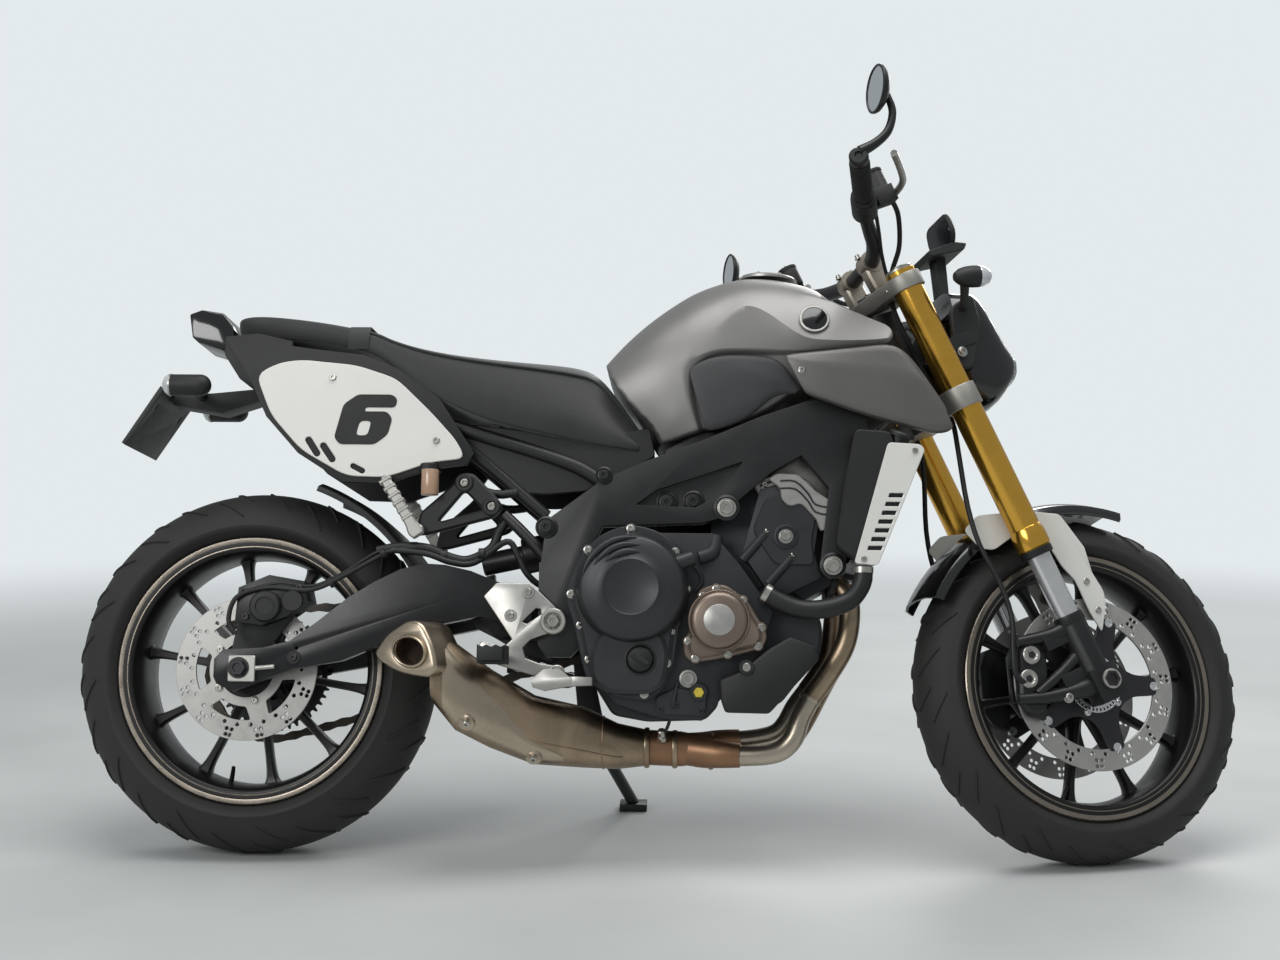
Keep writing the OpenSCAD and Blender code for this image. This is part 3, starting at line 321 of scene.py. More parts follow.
# Finish of every solid that is carried over, and how far its edges are rounded in millimetres.
CARRIED = {
    "frame": ("satin_black", 3), "subframe": ("satin_black", 0), "engine": ("case", 4),
    "head_cover": ("cast", 4), "airbox": ("black_plastic", 4), "radiator": ("satin_black", 2),
    "coolant_hose": ("hose", 0), "coolant_tank": ("black_plastic", 5), "tail_unit": ("black_plastic", 3),
    "tail_lamp": ("gloss_black", 3), "rear_indicators": ("black_plastic", 2),
    "plate_holder": ("black_plastic", 2), "swingarm": ("arm_black", 11), "rear_shock": ("graphite", 2),
    "rear_hugger": ("black_plastic", 1), "chain": ("chain", 0), "rear_caliper": ("satin_black", 3),
    "rider_brackets": ("silver", 2), "rider_pegs": ("black_plastic", 2), "brake_pedal": ("silver", 2),
    "shift_lever": ("graphite", 2), "brake_reservoir": ("fluid", 1), "side_stand": ("satin_black", 2),
    "fork_feet": ("satin_black", 3), "yokes": ("cast", 3), "grips": ("grip_rubber", 1),
    "bar_controls": ("black_plastic", 2), "levers": ("silver", 0), "headlight": ("gloss_black", 5),
    "headlight_lens": ("lens", 3), "front_fender": ("gloss_black", 1), "fender_stays": ("plate", 1),
    "front_calipers": ("satin_black", 4), "brake_hoses": ("hose", 0), "rear_sprocket": ("graphite", 1),
}


# Making meshes

def make(name, bm, space, finishes, body, replaces=(), smooth_angle=38):
    """Object from a mesh drawn in one of the spaces, riding on a body."""
    bmesh.ops.remove_doubles(bm, verts=bm.verts, dist=0.01)
    bmesh.ops.recalc_face_normals(bm, faces=bm.faces)
    bm.transform(space)
    mesh = bpy.data.meshes.new(name)
    bm.to_mesh(mesh)
    bm.free()
    return put(name, mesh, finishes, body, replaces, smooth_angle)


def put(name, mesh, finishes, body, replaces=(), smooth_angle=38):
    """Object with its finishes, riding on a body in place of the solids it replaces."""
    if isinstance(finishes, str):
        finishes = (finishes,)
    for finish_name in finishes:
        mesh.materials.append(MATERIALS[finish_name])
    mesh.shade_smooth()
    mesh.set_sharp_from_angle(angle=math.radians(smooth_angle))
    creases = mesh.attributes.get("crease_edge")
    for edge in mesh.edges if creases else ():
        if creases.data[edge.index].value > 0.95:
            edge.use_edge_sharp = True
    obj = bpy.data.objects.new(name, mesh)
    bpy.context.scene.collection.objects.link(obj)
    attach(obj, body)
    if replaces:
        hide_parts(*replaces)
    return obj


def body_of_node(node):
    for body, listed in frame["record"]["behaviour"]["bodies"].items():
        if node in listed:
            return body
    raise ValueError(f"{node} is on no body")


def dress(node, finish_name, edge):
    """Copy of a solid with its edges rounded, in place of the solid."""
    bm = bmesh.new()
    bm.from_mesh(frame["nodes"][node].data)
    bmesh.ops.remove_doubles(bm, verts=bm.verts, dist=1e-6)
    bmesh.ops.dissolve_limit(bm, angle_limit=math.radians(0.5), verts=bm.verts, edges=bm.edges,
                             delimit={"MATERIAL"})
    if edge:
        sharp = [e for e in bm.edges if len(e.link_faces) == 2 and e.calc_face_angle(0) > math.radians(40)]
        bmesh.ops.bevel(bm, geom=sharp, offset=edge * MM, offset_type="OFFSET", affect="EDGES", segments=2,
                        profile=0.5, material=-1, clamp_overlap=True)
    mesh = bpy.data.meshes.new(node + "_dressed")
    bm.to_mesh(mesh)
    bm.free()
    return put(node + "_dressed", mesh, finish_name, body_of_node(node), (node,))


# Drawing tools. Outlines are X and Z of the upright bike in millimetres, and Y is to the left.

def smooth(rows, steps):
    """Rows run smoothly through the given rows, with so many steps in each span."""
    rows = [[Vector(p) for p in row] for row in rows]
    out = []
    for i in range(len(rows) - 1):
        a, b, c, d = (rows[max(0, min(len(rows) - 1, i + k))] for k in (-1, 0, 1, 2))
        for step in range(steps):
            t = step / steps
            out.append([0.5 * (2 * q + (r - p) * t + (2 * p - 5 * q + 4 * r - s) * t * t
                               + (3 * q - p - 3 * r + s) * t ** 3) for p, q, r, s in zip(a, b, c, d)])
    return out + [rows[-1]]


def curve_through(points, steps=6):
    return [row[0] for row in smooth([[p] for p in points], steps)]


def rounded(outline, reach, steps=4):
    """Outline with every corner rounded from the given reach along its sides."""
    out = []
    for i, corner in enumerate(outline):
        corner = Vector(corner)
        back = Vector(outline[i - 1]) - corner
        ahead = Vector(outline[(i + 1) % len(outline)]) - corner
        cut = min(reach, back.length * 0.45, ahead.length * 0.45)
        start, end = corner + back.normalized() * cut, corner + ahead.normalized() * cut
        for step in range(steps + 1):
            t = step / steps
            out.append((1 - t) ** 2 * start + 2 * t * (1 - t) * corner + t * t * end)
    return out


def circle(centre, radius, steps=24, start=0.0, sweep=math.tau):
    """Points on a circle, or on an arc if the sweep is less than a full turn."""
    full = abs(sweep - math.tau) < 1e-6
    count = steps if full else steps + 1
    return [Vector((centre[0] + radius * math.cos(start + sweep * k / steps),
                    centre[1] + radius * math.sin(start + sweep * k / steps))) for k in range(count)]


def line(bm, points, closed):
    verts = [bm.verts.new(p) for p in points]
    pairs = list(zip(verts, verts[1:])) + ([(verts[-1], verts[0])] if closed else [])
    return verts, [bm.edges.new(pair) for pair in pairs]


def cage(bm, rows, closed=True, caps=True, slot=0):
    """Skin bridged from each row of points to the next, and the grid of its corners."""
    made = [line(bm, row, closed) for row in rows]
    faces = []
    for (_, near), (_, far) in zip(made, made[1:]):
        faces += bmesh.ops.bridge_loops(bm, edges=near + far)["faces"]
    if caps and closed:
        for _, edges in (made[0], made[-1]):
            faces += bmesh.ops.contextual_create(bm, geom=edges)["faces"]
    for face in faces:
        face.material_index = slot
    return [verts for verts, _ in made]


def crease(bm, pairs, strength):
    """Keep the edges between pairs of corners sharp under subdivision."""
    layer = bm.edges.layers.float.get("crease_edge") or bm.edges.layers.float.new("crease_edge")
    for a, b in pairs:
        edge = bm.edges.get((a, b))
        if edge:
            edge[layer] = strength


def crease_along(bm, grid, column, first, last, strength):
    crease(bm, [(grid[i][column], grid[i + 1][column]) for i in range(first, last)], strength)


def crease_across(bm, grid, row, first, last, strength):
    crease(bm, [(grid[row][i], grid[row][i + 1]) for i in range(first, last)], strength)


def subdivide(obj, levels=2):
    made = obj.modifiers.new("smooth_form", "SUBSURF")
    made.levels = made.render_levels = levels
    return obj


def mirror_y(bm):
    """Add the other side of the bike."""
    bmesh.ops.mirror(bm, geom=bm.verts[:] + bm.edges[:] + bm.faces[:], merge_dist=0.001, axis="Y")


def curve_mesh(curve):
    """Mesh of a curve, which is then removed."""
    obj = bpy.data.objects.new("drawing", curve)
    bpy.context.scene.collection.objects.link(obj)
    mesh = bpy.data.meshes.new_from_object(obj.evaluated_get(bpy.context.evaluated_depsgraph_get()))
    bpy.data.objects.remove(obj)
    bpy.data.curves.remove(curve)
    return mesh


def add_mesh(bm, mesh, place, slot):
    """Add a mesh at its place, with its faces in one material slot."""
    if place is not None:
        mesh.transform(place)
    mesh.polygons.foreach_set("material_index", [slot] * len(mesh.polygons))
    bm.from_mesh(mesh)
    bpy.data.meshes.remove(mesh)


def add_bmesh(bm, part, place, slot):
    mesh = bpy.data.meshes.new("part")
    part.to_mesh(mesh)
    part.free()
    add_mesh(bm, mesh, place, slot)


STAND_UP = Matrix.Rotation(math.pi / 2, 4, "X")


def flat(bm, outlines, thickness, edge, place, slot=0, rounds=0):
    """Flat plate with broken or rounded edges: the first outline less the others, centred on its place."""
    curve = bpy.data.curves.new("outline", "CURVE")
    curve.dimensions = "2D"
    curve.fill_mode = "BOTH"
    curve.extrude = max(0.01, thickness / 2 - edge)
    curve.bevel_depth = edge
    curve.bevel_resolution = rounds
    curve.offset = -edge
    for outline in outlines:
        spline = curve.splines.new("POLY")
        spline.points.add(len(outline) - 1)
        for point, at in zip(spline.points, outline):
            point.co = (at[0], at[1], 0, 1)
        spline.use_cyclic_u = True
    add_mesh(bm, curve_mesh(curve), place, slot)


def plate(bm, outline, y0, y1, edge, slot=0, holes=()):
    """Plate that stands in X and Z between two Y values."""
    place = Matrix.Translation((0, (y0 + y1) / 2, 0)) @ STAND_UP
    flat(bm, [outline, *holes], abs(y1 - y0), edge, place, slot)


def tube(bm, points, radius, steps=6, sides=5, slot=0):
    """Round tube that runs smoothly through its points. Radius may change from point to point."""
    curve = bpy.data.curves.new("run", "CURVE")
    curve.dimensions = "3D"
    curve.bevel_depth = 1
    curve.bevel_resolution = sides
    curve.use_fill_caps = True
    radii = radius if isinstance(radius, (list, tuple)) else [radius] * len(points)
    run = curve_through([(*p, r) for p, r in zip(points, radii)], steps) if steps > 1 else [
        Vector((*p, r)) for p, r in zip(points, radii)]
    spline = curve.splines.new("POLY")
    spline.points.add(len(run) - 1)
    for point, at in zip(spline.points, run):
        point.co = (at[0], at[1], at[2], 1)
        point.radius = at[3]
    add_mesh(bm, curve_mesh(curve), Matrix.Identity(4), slot)


def lathe(bm, profile, place=None, steps=48, slot=0):
    """Turned piece: (radius, height) profile spun about Z. A profile clear of the axis makes a ring."""
    part = bmesh.new()
    ring = profile[0][0] > 0 and profile[-1][0] > 0 and profile[0] != profile[-1]
    verts, edges = line(part, [(r, 0, h) for r, h in profile], ring)
    bmesh.ops.spin(part, geom=verts + edges, cent=(0, 0, 0), axis=(0, 0, 1), angle=math.tau, steps=steps,
                   use_merge=True)
    bmesh.ops.remove_doubles(part, verts=part.verts, dist=0.001)
    add_bmesh(bm, part, place, slot)


def facing(centre, toward):
    """Place with its Z along a direction."""
    turn = Vector(toward).normalized().to_track_quat("Z", "Y").to_matrix().to_4x4()
    return Matrix.Translation(centre) @ turn


RIGHT = (0, -1, 0)
LEFTWARD = (0, 1, 0)
SIDES = ((-1, RIGHT), (1, LEFTWARD))


def cap_screw(bm, centre, toward=RIGHT, radius=6, height=6, slot=0):
    """Round screw head with a hex socket and a washer face."""
    place = facing(centre, toward)
    lathe(bm, [(0, -2), (radius * 1.35, -2), (radius * 1.35, 0), (radius, 0.6), (radius, height - 1),
               (radius - 1, height), (radius * 0.6, height), (radius * 0.6, height - 3.2), (0, height - 3.2)],
          place, 20, slot)
    lathe(bm, [(radius * 0.7, height - 3.2), (radius * 0.7, height - 0.05), (radius * 0.5, height - 0.05),
               (radius * 0.5, height - 3.2)], place, 6, slot)


def outward(y):
    return RIGHT if y < 0 else LEFTWARD


def screws(bm, spots, y, radius, height, slot=0):
    """Cap screws at X and Z spots on one side of the bike."""
    for x, z in spots:
        cap_screw(bm, (x, y, z), outward(y), radius, height, slot)


def bosses(bm, profile, spots, y, steps, slot=0):
    """Turned bosses at X and Z spots on one side of the bike."""
    for x, z in spots:
        lathe(bm, profile, facing((x, y, z), outward(y)), steps, slot)


def hex_nut(bm, centre, toward=RIGHT, radius=11, height=9, slot=0):
    place = facing(centre, toward)
    lathe(bm, [(0, -1), (radius * 1.3, -1), (radius * 1.3, 1), (0, 1)], place, 28, slot)
    lathe(bm, [(0, 1), (radius, 1), (radius, height - 1.2), (radius - 1.2, height), (radius * 0.6, height),
               (radius * 0.55, height - 3), (0, height - 3)], place, 6, slot)


# Operators

class BIKE_OT_finishes(bpy.types.Operator):
    """Make the materials"""

    bl_idname = "bike.finishes"
    bl_label = "Finishes"

    def execute(self, context):
        build_materials()
        return {"FINISHED"}


# Bodywork

# Half of the tank from its rear edge to the tip of its ear. Each row runs from the middle of the top
# over the shoulder, the facet's crease and the lip of the knee recess to the middle of the underside.
TANK_ROWS = [
    [(606, 0, 868), (607, 42, 864), (611, 82, 850), (618, 100, 832), (628, 110, 812), (650, 117, 786),
     (676, 119, 760), (690, 119, 748), (700, 118, 734), (712, 112, 712), (690, 0, 716)],
    [(640, 0, 909), (640, 48, 902), (644, 92, 880), (650, 114, 852), (660, 123, 824), (678, 128, 795),
     (700, 128, 766), (710, 127, 750), (720, 126, 735), (732, 118, 716), (730, 0, 716)],
    [(690, 0, 954), (690, 54, 947), (692, 104, 918), (696, 127, 884), (702, 136, 850), (712, 139, 815),
     (724, 137, 780), (730, 136, 762), (737, 134, 745), (748, 126, 722), (750, 0, 720)],
    [(742, 0, 990), (742, 58, 982), (743, 112, 948), (744, 135, 908), (745, 143, 870), (746, 145, 838),
     (752, 144, 806), (757, 142, 784), (764, 140, 762), (774, 134, 730), (775, 0, 726)],
    [(764, 0, 1003), (764, 59, 995), (764, 115, 960), (763, 138, 918), (762, 146, 880), (762, 148, 855),
     (765, 136, 842), (766, 133, 800), (772, 131, 765), (782, 126, 734), (782, 0, 730)],
    [(800, 0, 1018), (800, 61, 1010), (800, 118, 976), (800, 140, 938), (800, 149, 900), (800, 151, 873),
     (801, 138, 864), (802, 133, 815), (803, 131, 770), (804, 126, 738), (804, 0, 735)],
    [(847, 0, 1030), (847, 64, 1023), (847, 113, 996), (847, 131, 980), (847, 146, 963), (847, 152, 873),
     (848, 139, 865), (849, 133, 820), (850, 131, 780), (850, 126, 745), (850, 0, 745)],
    [(900, 0, 1030), (900, 66, 1022), (900, 114, 994), (900, 137, 964), (900, 155, 932), (900, 152, 872),
     (901, 140, 864), (902, 134, 830), (903, 132, 800), (903, 127, 775), (903, 0, 770)],
    [(951, 0, 1020), (951, 66, 1012), (951, 118, 983), (951, 144, 938), (951, 162, 888), (951, 152, 869),
     (952, 141, 862), (952, 135, 850), (952, 132, 835), (952, 128, 815), (952, 0, 805)],
    [(990, 0, 1008), (990, 70, 1000), (990, 124, 968), (990, 147, 930), (990, 163, 887), (990, 153, 872),
     (990, 143, 866), (990, 138, 862), (990, 134, 858), (990, 130, 852), (990, 0, 850)],
    [(1006, 140, 912), (1006, 139, 945), (1006, 134, 962), (1006, 149, 926), (1006, 163, 886),
     (1006, 153, 873), (1006, 145, 868), (1006, 140, 872), (1006, 139, 884), (1006, 139, 896), (1006, 139, 912)],
    [(1042, 143, 905), (1042, 143, 928), (1042, 143, 942), (1042, 151, 914), (1042, 163, 886),
     (1042, 153, 876), (1042, 147, 872), (1042, 144, 876), (1042, 143, 884), (1042, 143, 892), (1042, 143, 905)],
    [(1082, 147, 900), (1082, 146, 914), (1082, 147, 923), (1082, 154, 905), (1082, 163, 888),
     (1082, 155, 880), (1082, 150, 876), (1082, 148, 880), (1082, 147, 886), (1082, 147, 893), (1082, 147, 900)],
    [(1110, 152, 901), (1110, 152, 906), (1110, 153, 911), (1109, 156, 903), (1107, 162, 892),
     (1105, 157, 886), (1104, 154, 884), (1107, 152, 889), (1108, 152, 893), (1109, 152, 897), (1110, 152, 901)],
]


def tank():
    """Fuel tank with its forward ears and the recess for the knee panels."""
    bm = bmesh.new()
    grid = cage(bm, TANK_ROWS, closed=False)
    last = len(grid) - 1
    for column, first, end, strength in ((4, 5, 6, 0.8), (4, 6, last, 1.0), (5, 4, last, 0.97),
                                         (6, 4, 9, 0.85), (2, 8, last, 0.8), (9, 0, 9, 0.5)):
        crease_along(bm, grid, column, first, end, strength)
    crease_across(bm, grid, 3, 5, 9, 0.7)
    crease_across(bm, grid, 4, 6, 9, 0.6)
    crease_across(bm, grid, 0, 0, 10, 0.6)
    for face in bm.faces:
        if min(v.co.x for v in face.verts) > 980 and face.calc_center_median().y < 125:
            face.material_index = 1
    mirror_y(bm)
    bmesh.ops.remove_doubles(bm, verts=bm.verts, dist=0.01)
    bmesh.ops.holes_fill(bm, edges=[e for e in bm.edges if e.is_boundary])
    return subdivide(make("fuel_tank_shell", bm, BIKE, ("paint", "black_plastic"), "chassis",
                          ("fuel_tank", "tank_covers"), 180), 3)


KNEE_ROWS = [
    [(755, 139, 834), (757, 142, 828), (768, 144, 790), (782, 140, 742), (786, 136, 732)],
    [(772, 141, 850), (774, 144, 844), (786, 148, 800), (798, 142, 742), (801, 137, 731)],
    [(810, 142, 863), (811, 146, 857), (822, 150, 840), (838, 144, 755), (839, 138, 743)],
    [(862, 142, 862), (862, 146, 856), (866, 151, 832), (866, 144, 770), (866, 138, 758)],
    [(904, 142, 859), (903, 146, 853), (893, 150, 815), (898, 145, 800), (899, 139, 792)],
    [(926, 141, 836), (925, 145, 832), (921, 147, 815), (922, 144, 806), (922, 139, 798)],
    [(950, 139, 799), (948, 142, 800), (944, 142, 800), (944, 142, 799), (944, 139, 796)],
]


def knee_panels():
    """Charcoal knee panels in the tank's recess, folded along one line."""
    bm = bmesh.new()
    grid = cage(bm, KNEE_ROWS, closed=False)
    crease_along(bm, grid, 2, 2, 5, 0.6)
    for column in (1, 3):
        crease_along(bm, grid, column, 0, 6, 0.6)
    bmesh.ops.solidify(bm, geom=bm.faces[:], thickness=4)
    mirror_y(bm)
    subdivide(make("knee_panels", bm, BIKE, "panel", "chassis", (), 180), 2)


SCOOP_ROWS = [
    [(921, 154, 860), (921, 162, 856), (923, 164, 850), (938, 165, 822), (953, 163, 797), (958, 155, 793)],
    [(962, 156, 864), (960, 165, 860), (961, 171, 845), (975, 171, 815), (990, 168, 786), (993, 156, 781)],
    [(1012, 158, 869), (1011, 166, 865), (1012, 173, 840), (1022, 173, 800), (1040, 169, 767),
     (1042, 157, 762)],
    [(1062, 158, 874), (1061, 165, 871), (1062, 173, 834), (1072, 173, 790), (1090, 169, 752),
     (1092, 157, 747)],
    [(1106, 158, 881), (1106, 163, 878), (1112, 172, 828), (1122, 172, 780), (1142, 169, 738),
     (1144, 157, 733)],
    [(1136, 158, 858), (1134, 163, 852), (1145, 171, 822), (1157, 171, 775), (1178, 168, 730),
     (1181, 157, 725)],
    [(1168, 158, 810), (1164, 162, 808), (1172, 168, 800), (1185, 168, 764), (1200, 166, 735),
     (1203, 157, 731)],
    [(1198, 158, 764), (1194, 161, 764), (1194, 165, 762), (1197, 165, 756), (1202, 163, 744),
     (1205, 157, 740)],
]


def scoops():
    """Side scoops between the tank's ears and the radiator, folded along the upper crease."""
    bm = bmesh.new()
    grid = cage(bm, SCOOP_ROWS, closed=False)
    crease_along(bm, grid, 2, 0, 6, 0.55)
    for column in (1, 4):
        crease_along(bm, grid, column, 0, 7, 0.5)
    bmesh.ops.solidify(bm, geom=bm.faces[:], thickness=3.5)
    mirror_y(bm)
    subdivide(make("side_scoop_shells", bm, BIKE, "scoop", "chassis", ("side_scoops",), 180), 2)


def tank_details():
    """Plain round badges, scoop screws and the filler cap."""
    bm = bmesh.new()
    for side in (-1, 1):
        badge = facing((972, side * 151.5, 925), (0.02, side * 0.95, 0.3))
        lathe(bm, [(0, 0), (26, 0), (26, 2.6), (25, 3.4), (22.5, 3.4), (22, 2.4)], badge, 48)
        lathe(bm, [(22, 2.4), (20, 3), (0, 3.6)], badge, 48, 1)
        cap_screw(bm, (950, side * 171, 832), (0, side, 0.1), 5, 4)
    cap_place = facing((898, 0, 1028), (0.05, 0, 1))
    lathe(bm, [(0, 0), (52, 0), (52, 4), (49, 7), (38, 8), (36, 6), (0, 6)], cap_place, 48)
    for k in range(7):
        angle = k * math.tau / 7
        cap_screw(bm, cap_place @ Vector((44 * math.cos(angle), 44 * math.sin(angle), 7)), (0.05, 0, 1), 3, 3)
    make("tank_details", bm, BIKE, ("silver", "gloss_black"), "chassis", ())


# Seat rows: X, middle of the top, height of the top's edge, lower edge, half widths of the top and below.
SEAT_ROWS = [
    (-52, 936, 930, 914, 66, 62), (-40, 944, 938, 907, 84, 80), (0, 944, 938, 900, 98, 96),
    (60, 938, 931, 893, 107, 106), (120, 929, 922, 886, 113, 113), (180, 917, 910, 874, 119, 121),
    (215, 908, 899, 858, 122, 126), (240, 898, 888, 842, 124, 129), (290, 885, 873, 805, 125, 133),
    (350, 876, 862, 770, 122, 134), (420, 871, 854, 744, 114, 131), (490, 868, 848, 730, 102, 124),
    (550, 865, 842, 718, 88, 117), (590, 856, 832, 710, 76, 112), (625, 815, 800, 705, 74, 112),
    (660, 763, 752, 700, 74, 110), (692, 716, 710, 693, 70, 104),
]


def seat_section(row):
    """Ring of the seat across X: down the right side from the middle of the top, and up the left."""
    x, top, edge, low, wide, base = row
    tall = edge - low
    half = [(0, top), (wide * 0.45, top - (top - edge) * 0.12), (wide * 0.8, top - (top - edge) * 0.5),
            (wide, edge), (wide + 3.5, edge - tall * 0.1), (wide + (base - wide) * 0.5 + 4, edge - tall * 0.4),
            (base + 1, edge - tall * 0.75), (base - 3, low + 1), (base - 14, low)]
    return [(x, -y, z) for y, z in half] + [(x, 0, low)] + [(x, y, z) for y, z in reversed(half[1:])]


def seat_seams(bm):
    """Piping along both edges of the rider's seat."""
    for side in (-1, 1):
        run = [(row[0], side * (row[4] + 2.2), row[2] - (row[2] - row[3]) * 0.03) for row in SEAT_ROWS[5:]]
        tube(bm, run, 2.4, 3, 3)


def seat():
    """One piece seat: a thin flat tail pad that runs into the deep rider's seat."""
    bm = bmesh.new()
    grid = cage(bm, [seat_section(row) for row in SEAT_ROWS])
    last = len(grid) - 1
    for column in (3, 15):
        crease_along(bm, grid, column, 0, last, 0.35)
    for column in (7, 8, 10, 11):
        crease_along(bm, grid, column, 0, last, 0.5)
    cushion = subdivide(make("seat_cushion", bm, BIKE, "vinyl", "chassis", ("seat",), 180), 3)
    trim = bmesh.new()
    seat_seams(trim)
    strap = [(178, -123, 874), (179, -126, 894), (180, -118, 912), (180, -96, 915), (180, -40, 917),
             (180, 0, 918)]
    rows = []
    for x, y, z in curve_through(strap + [(x, -y, z) for x, y, z in reversed(strap[:-1])], 4):
        out = Vector((0, y * 0.6, z - 880)).normalized() * 2.2
        rows.append([(x - 18, y, z), (x - 18, y + out.y, z + out.z), (x + 18, y + out.y, z + out.z),
                     (x + 18, y, z)])
    cage(trim, rows)
    make("seat_trim", trim, BIKE, "vinyl", "chassis", ())


class BIKE_OT_bodywork(bpy.types.Operator):
    """Build the tank, knee panels, scoops and seat"""

    bl_idname = "bike.bodywork"
    bl_label = "Bodywork"

    def execute(self, context):
        tank()
        knee_panels()
        scoops()
        tank_details()
        seat()
        return {"FINISHED"}


# Wheels, drawn about the axle: X forward, Y down, Z to the left

RIM_RADIUS = 231
SPOKES = 10
AXLE_BORE = 12.2
FRONT_DISC_SIDE = 67.8
REAR_DISC_SIDE = 100.3
# Steps round one set of tread grooves: the first is the groove, and the rest is the block behind it.
TREAD_STEPS = (0.0, 0.075, 0.32, 0.55, 0.78)


def tyre_profile(radius, width, crown):
    """Points from the right bead over the tread to the left bead, and how far each is from the crown."""
    ring = radius - crown
    arc = [(ring + crown * math.cos(math.radians(a)), crown * math.sin(math.radians(a)))
           for a in range(0, 67, 6)]
    wall = [(RIM_RADIUS + 30, width * 0.505), (RIM_RADIUS + 22, width * 0.503),
            (RIM_RADIUS + 20.5, width * 0.508), (RIM_RADIUS + 17, width * 0.505),
            (RIM_RADIUS + 12, width * 0.485), (RIM_RADIUS + 4, width * 0.42),
            (RIM_RADIUS + 1, width * 0.39), (RIM_RADIUS - 14.7, width * 0.39)]
    half = arc + [p for p in wall if p[0] < arc[-1][0] - 2]
    return [(r, -h) for r, h in reversed(half[1:])] + half, len(arc)


def tyre(name, node, space, body, radius, width, crown):
    """Road tyre with slanted grooves cut into the tread."""
    profile, arc = tyre_profile(radius, width, crown)
    middle = len(profile) // 2
    pitch = math.tau / sizes().tread_pitch
    bm = bmesh.new()
    rows = []
    for turn in range(sizes().tread_pitch):
        for step in TREAD_STEPS:
            row = []
            for j, (r, h) in enumerate(profile):
                away = min(1, abs(j - middle) / (arc - 1))
                angle = (turn + step) * pitch + 0.3 * away ** 1.4
                row.append((r * math.cos(angle), r * math.sin(angle), h))
            rows.append(row)
    rows = rows[2:] + rows[:2]
    grid = cage(bm, rows + [rows[0]], closed=False)
    grooves = []
    for turn in range(sizes().tread_pitch):
        first, last = ((2, arc - 4), (5, arc - 2), (1, arc - 6))[turn % 3]
        at = (turn * len(TREAD_STEPS) - 2) % len(rows)
        row, after = grid[at], grid[at + 1]
        for side in (-1, 1):
            for j in range(first, last):
                a, b = middle + side * j, middle + side * (j + 1)
                face = next((f for f in row[a].link_faces
                             if row[b] in f.verts and after[a] in f.verts), None)
                if face:
                    grooves.append(face)
    bmesh.ops.inset_region(bm, faces=grooves, thickness=0.5, depth=-3, use_even_offset=True)
    well = [[row[-1], [(p + q) / 2 for p, q in zip(row[-1], row[0])], row[0]] for row in rows]
    cage(bm, well + [well[0]], closed=False)
    make(name, bm, space, "tyre", body, (node,), 32)


def wheel_rim(name, node, space, body, width, hub, hub_half, flange, turn):
    """Cast wheel: barrel with machined lips, tapered spokes that flare into the barrel, and the hub."""
    inner = width * 0.39
    outer = inner + 6.3
    bm = bmesh.new()
    barrel = [(204, -inner), (208, -outer + 1), (212, -outer), (222, -outer), (222, -inner - 2),
              (216, -inner), (216, inner), (222, inner + 2), (222, outer), (212, outer), (208, outer - 1),
              (204, inner), (198, inner * 0.4), (197, 0), (198, -inner * 0.4), (204, -inner)]
    lathe(bm, barrel, None, 120)
    for side in (-1, 1):
        lathe(bm, [(r, side * h) for r, h in ((222, outer - 4), (222, outer + 0.4), (224, outer + 0.8),
                                              (229.5, outer + 0.8), (231, outer - 0.6), (231, inner + 1),
                                              (222, outer - 4))], None, 120, 1)
        lathe(bm, [(r, side * h) for r, h in ((213.5, outer - 1), (213.7, outer + 0.5), (215.3, outer + 0.5),
                                              (215.5, outer - 1))], None, 120, 1)
    lathe(bm, [(AXLE_BORE, -hub_half), (flange, -hub_half), (flange, -hub_half + 8),
               (hub + 3, -hub_half + 12), (hub, -hub_half * 0.7), (hub - 4, -hub_half * 0.3),
               (hub - 4, hub_half * 0.3), (hub, hub_half * 0.7), (hub + 3, hub_half - 12),
               (flange, hub_half - 8), (flange, hub_half), (AXLE_BORE, hub_half), (AXLE_BORE, -hub_half)],
          None, 64)
    stations = [(hub - 8, 13, 22), (hub + 12, 10, 18), (90, 8, 14.5), (130, 7, 13), (165, 7.4, 12.5),
                (184, 9, 13), (194, 12, 14), (201, 17, 16), (205, 22, 17)]
    for k in range(SPOKES):
        place = Matrix.Rotation(k * math.tau / SPOKES + math.radians(turn), 4, "Z")
        rows = []
        for r, half, deep in stations:
            ring = [(half, -deep * 0.55), (half, deep * 0.55), (half * 0.55, deep), (-half * 0.55, deep),
                    (-half, deep * 0.55), (-half, -deep * 0.55), (-half * 0.55, -deep), (half * 0.55, -deep)]
            rows.append([place @ Vector((r, y, z)) for y, z in ring])
        cage(bm, smooth(rows, 2))
    valve = math.radians(102)
    foot = Vector((math.cos(valve), math.sin(valve), 0))
    tube(bm, [foot * 199 + Vector((0, 0, -10)), foot * 184 + Vector((0, 0, -14)),
              foot * 172 + Vector((0, 0, -20))], [4.5, 4, 3.4], 3, 4)
    make(name, bm, space, ("wheel", "lip"), body, (node,), 42)


def drilled_rows(inner, outer, rows, hole):
    """Slanted rows of three holes round a disc."""
    holes = []
    for k in range(rows):
        for step in range(3):
            r = inner + (outer - inner) * step / 2
            angle = (k + (0.32 * step if k % 2 else -0.32 * step)) * math.tau / rows
            holes.append(circle((r * math.cos(angle), r * math.sin(angle)), hole, 10))
    return holes


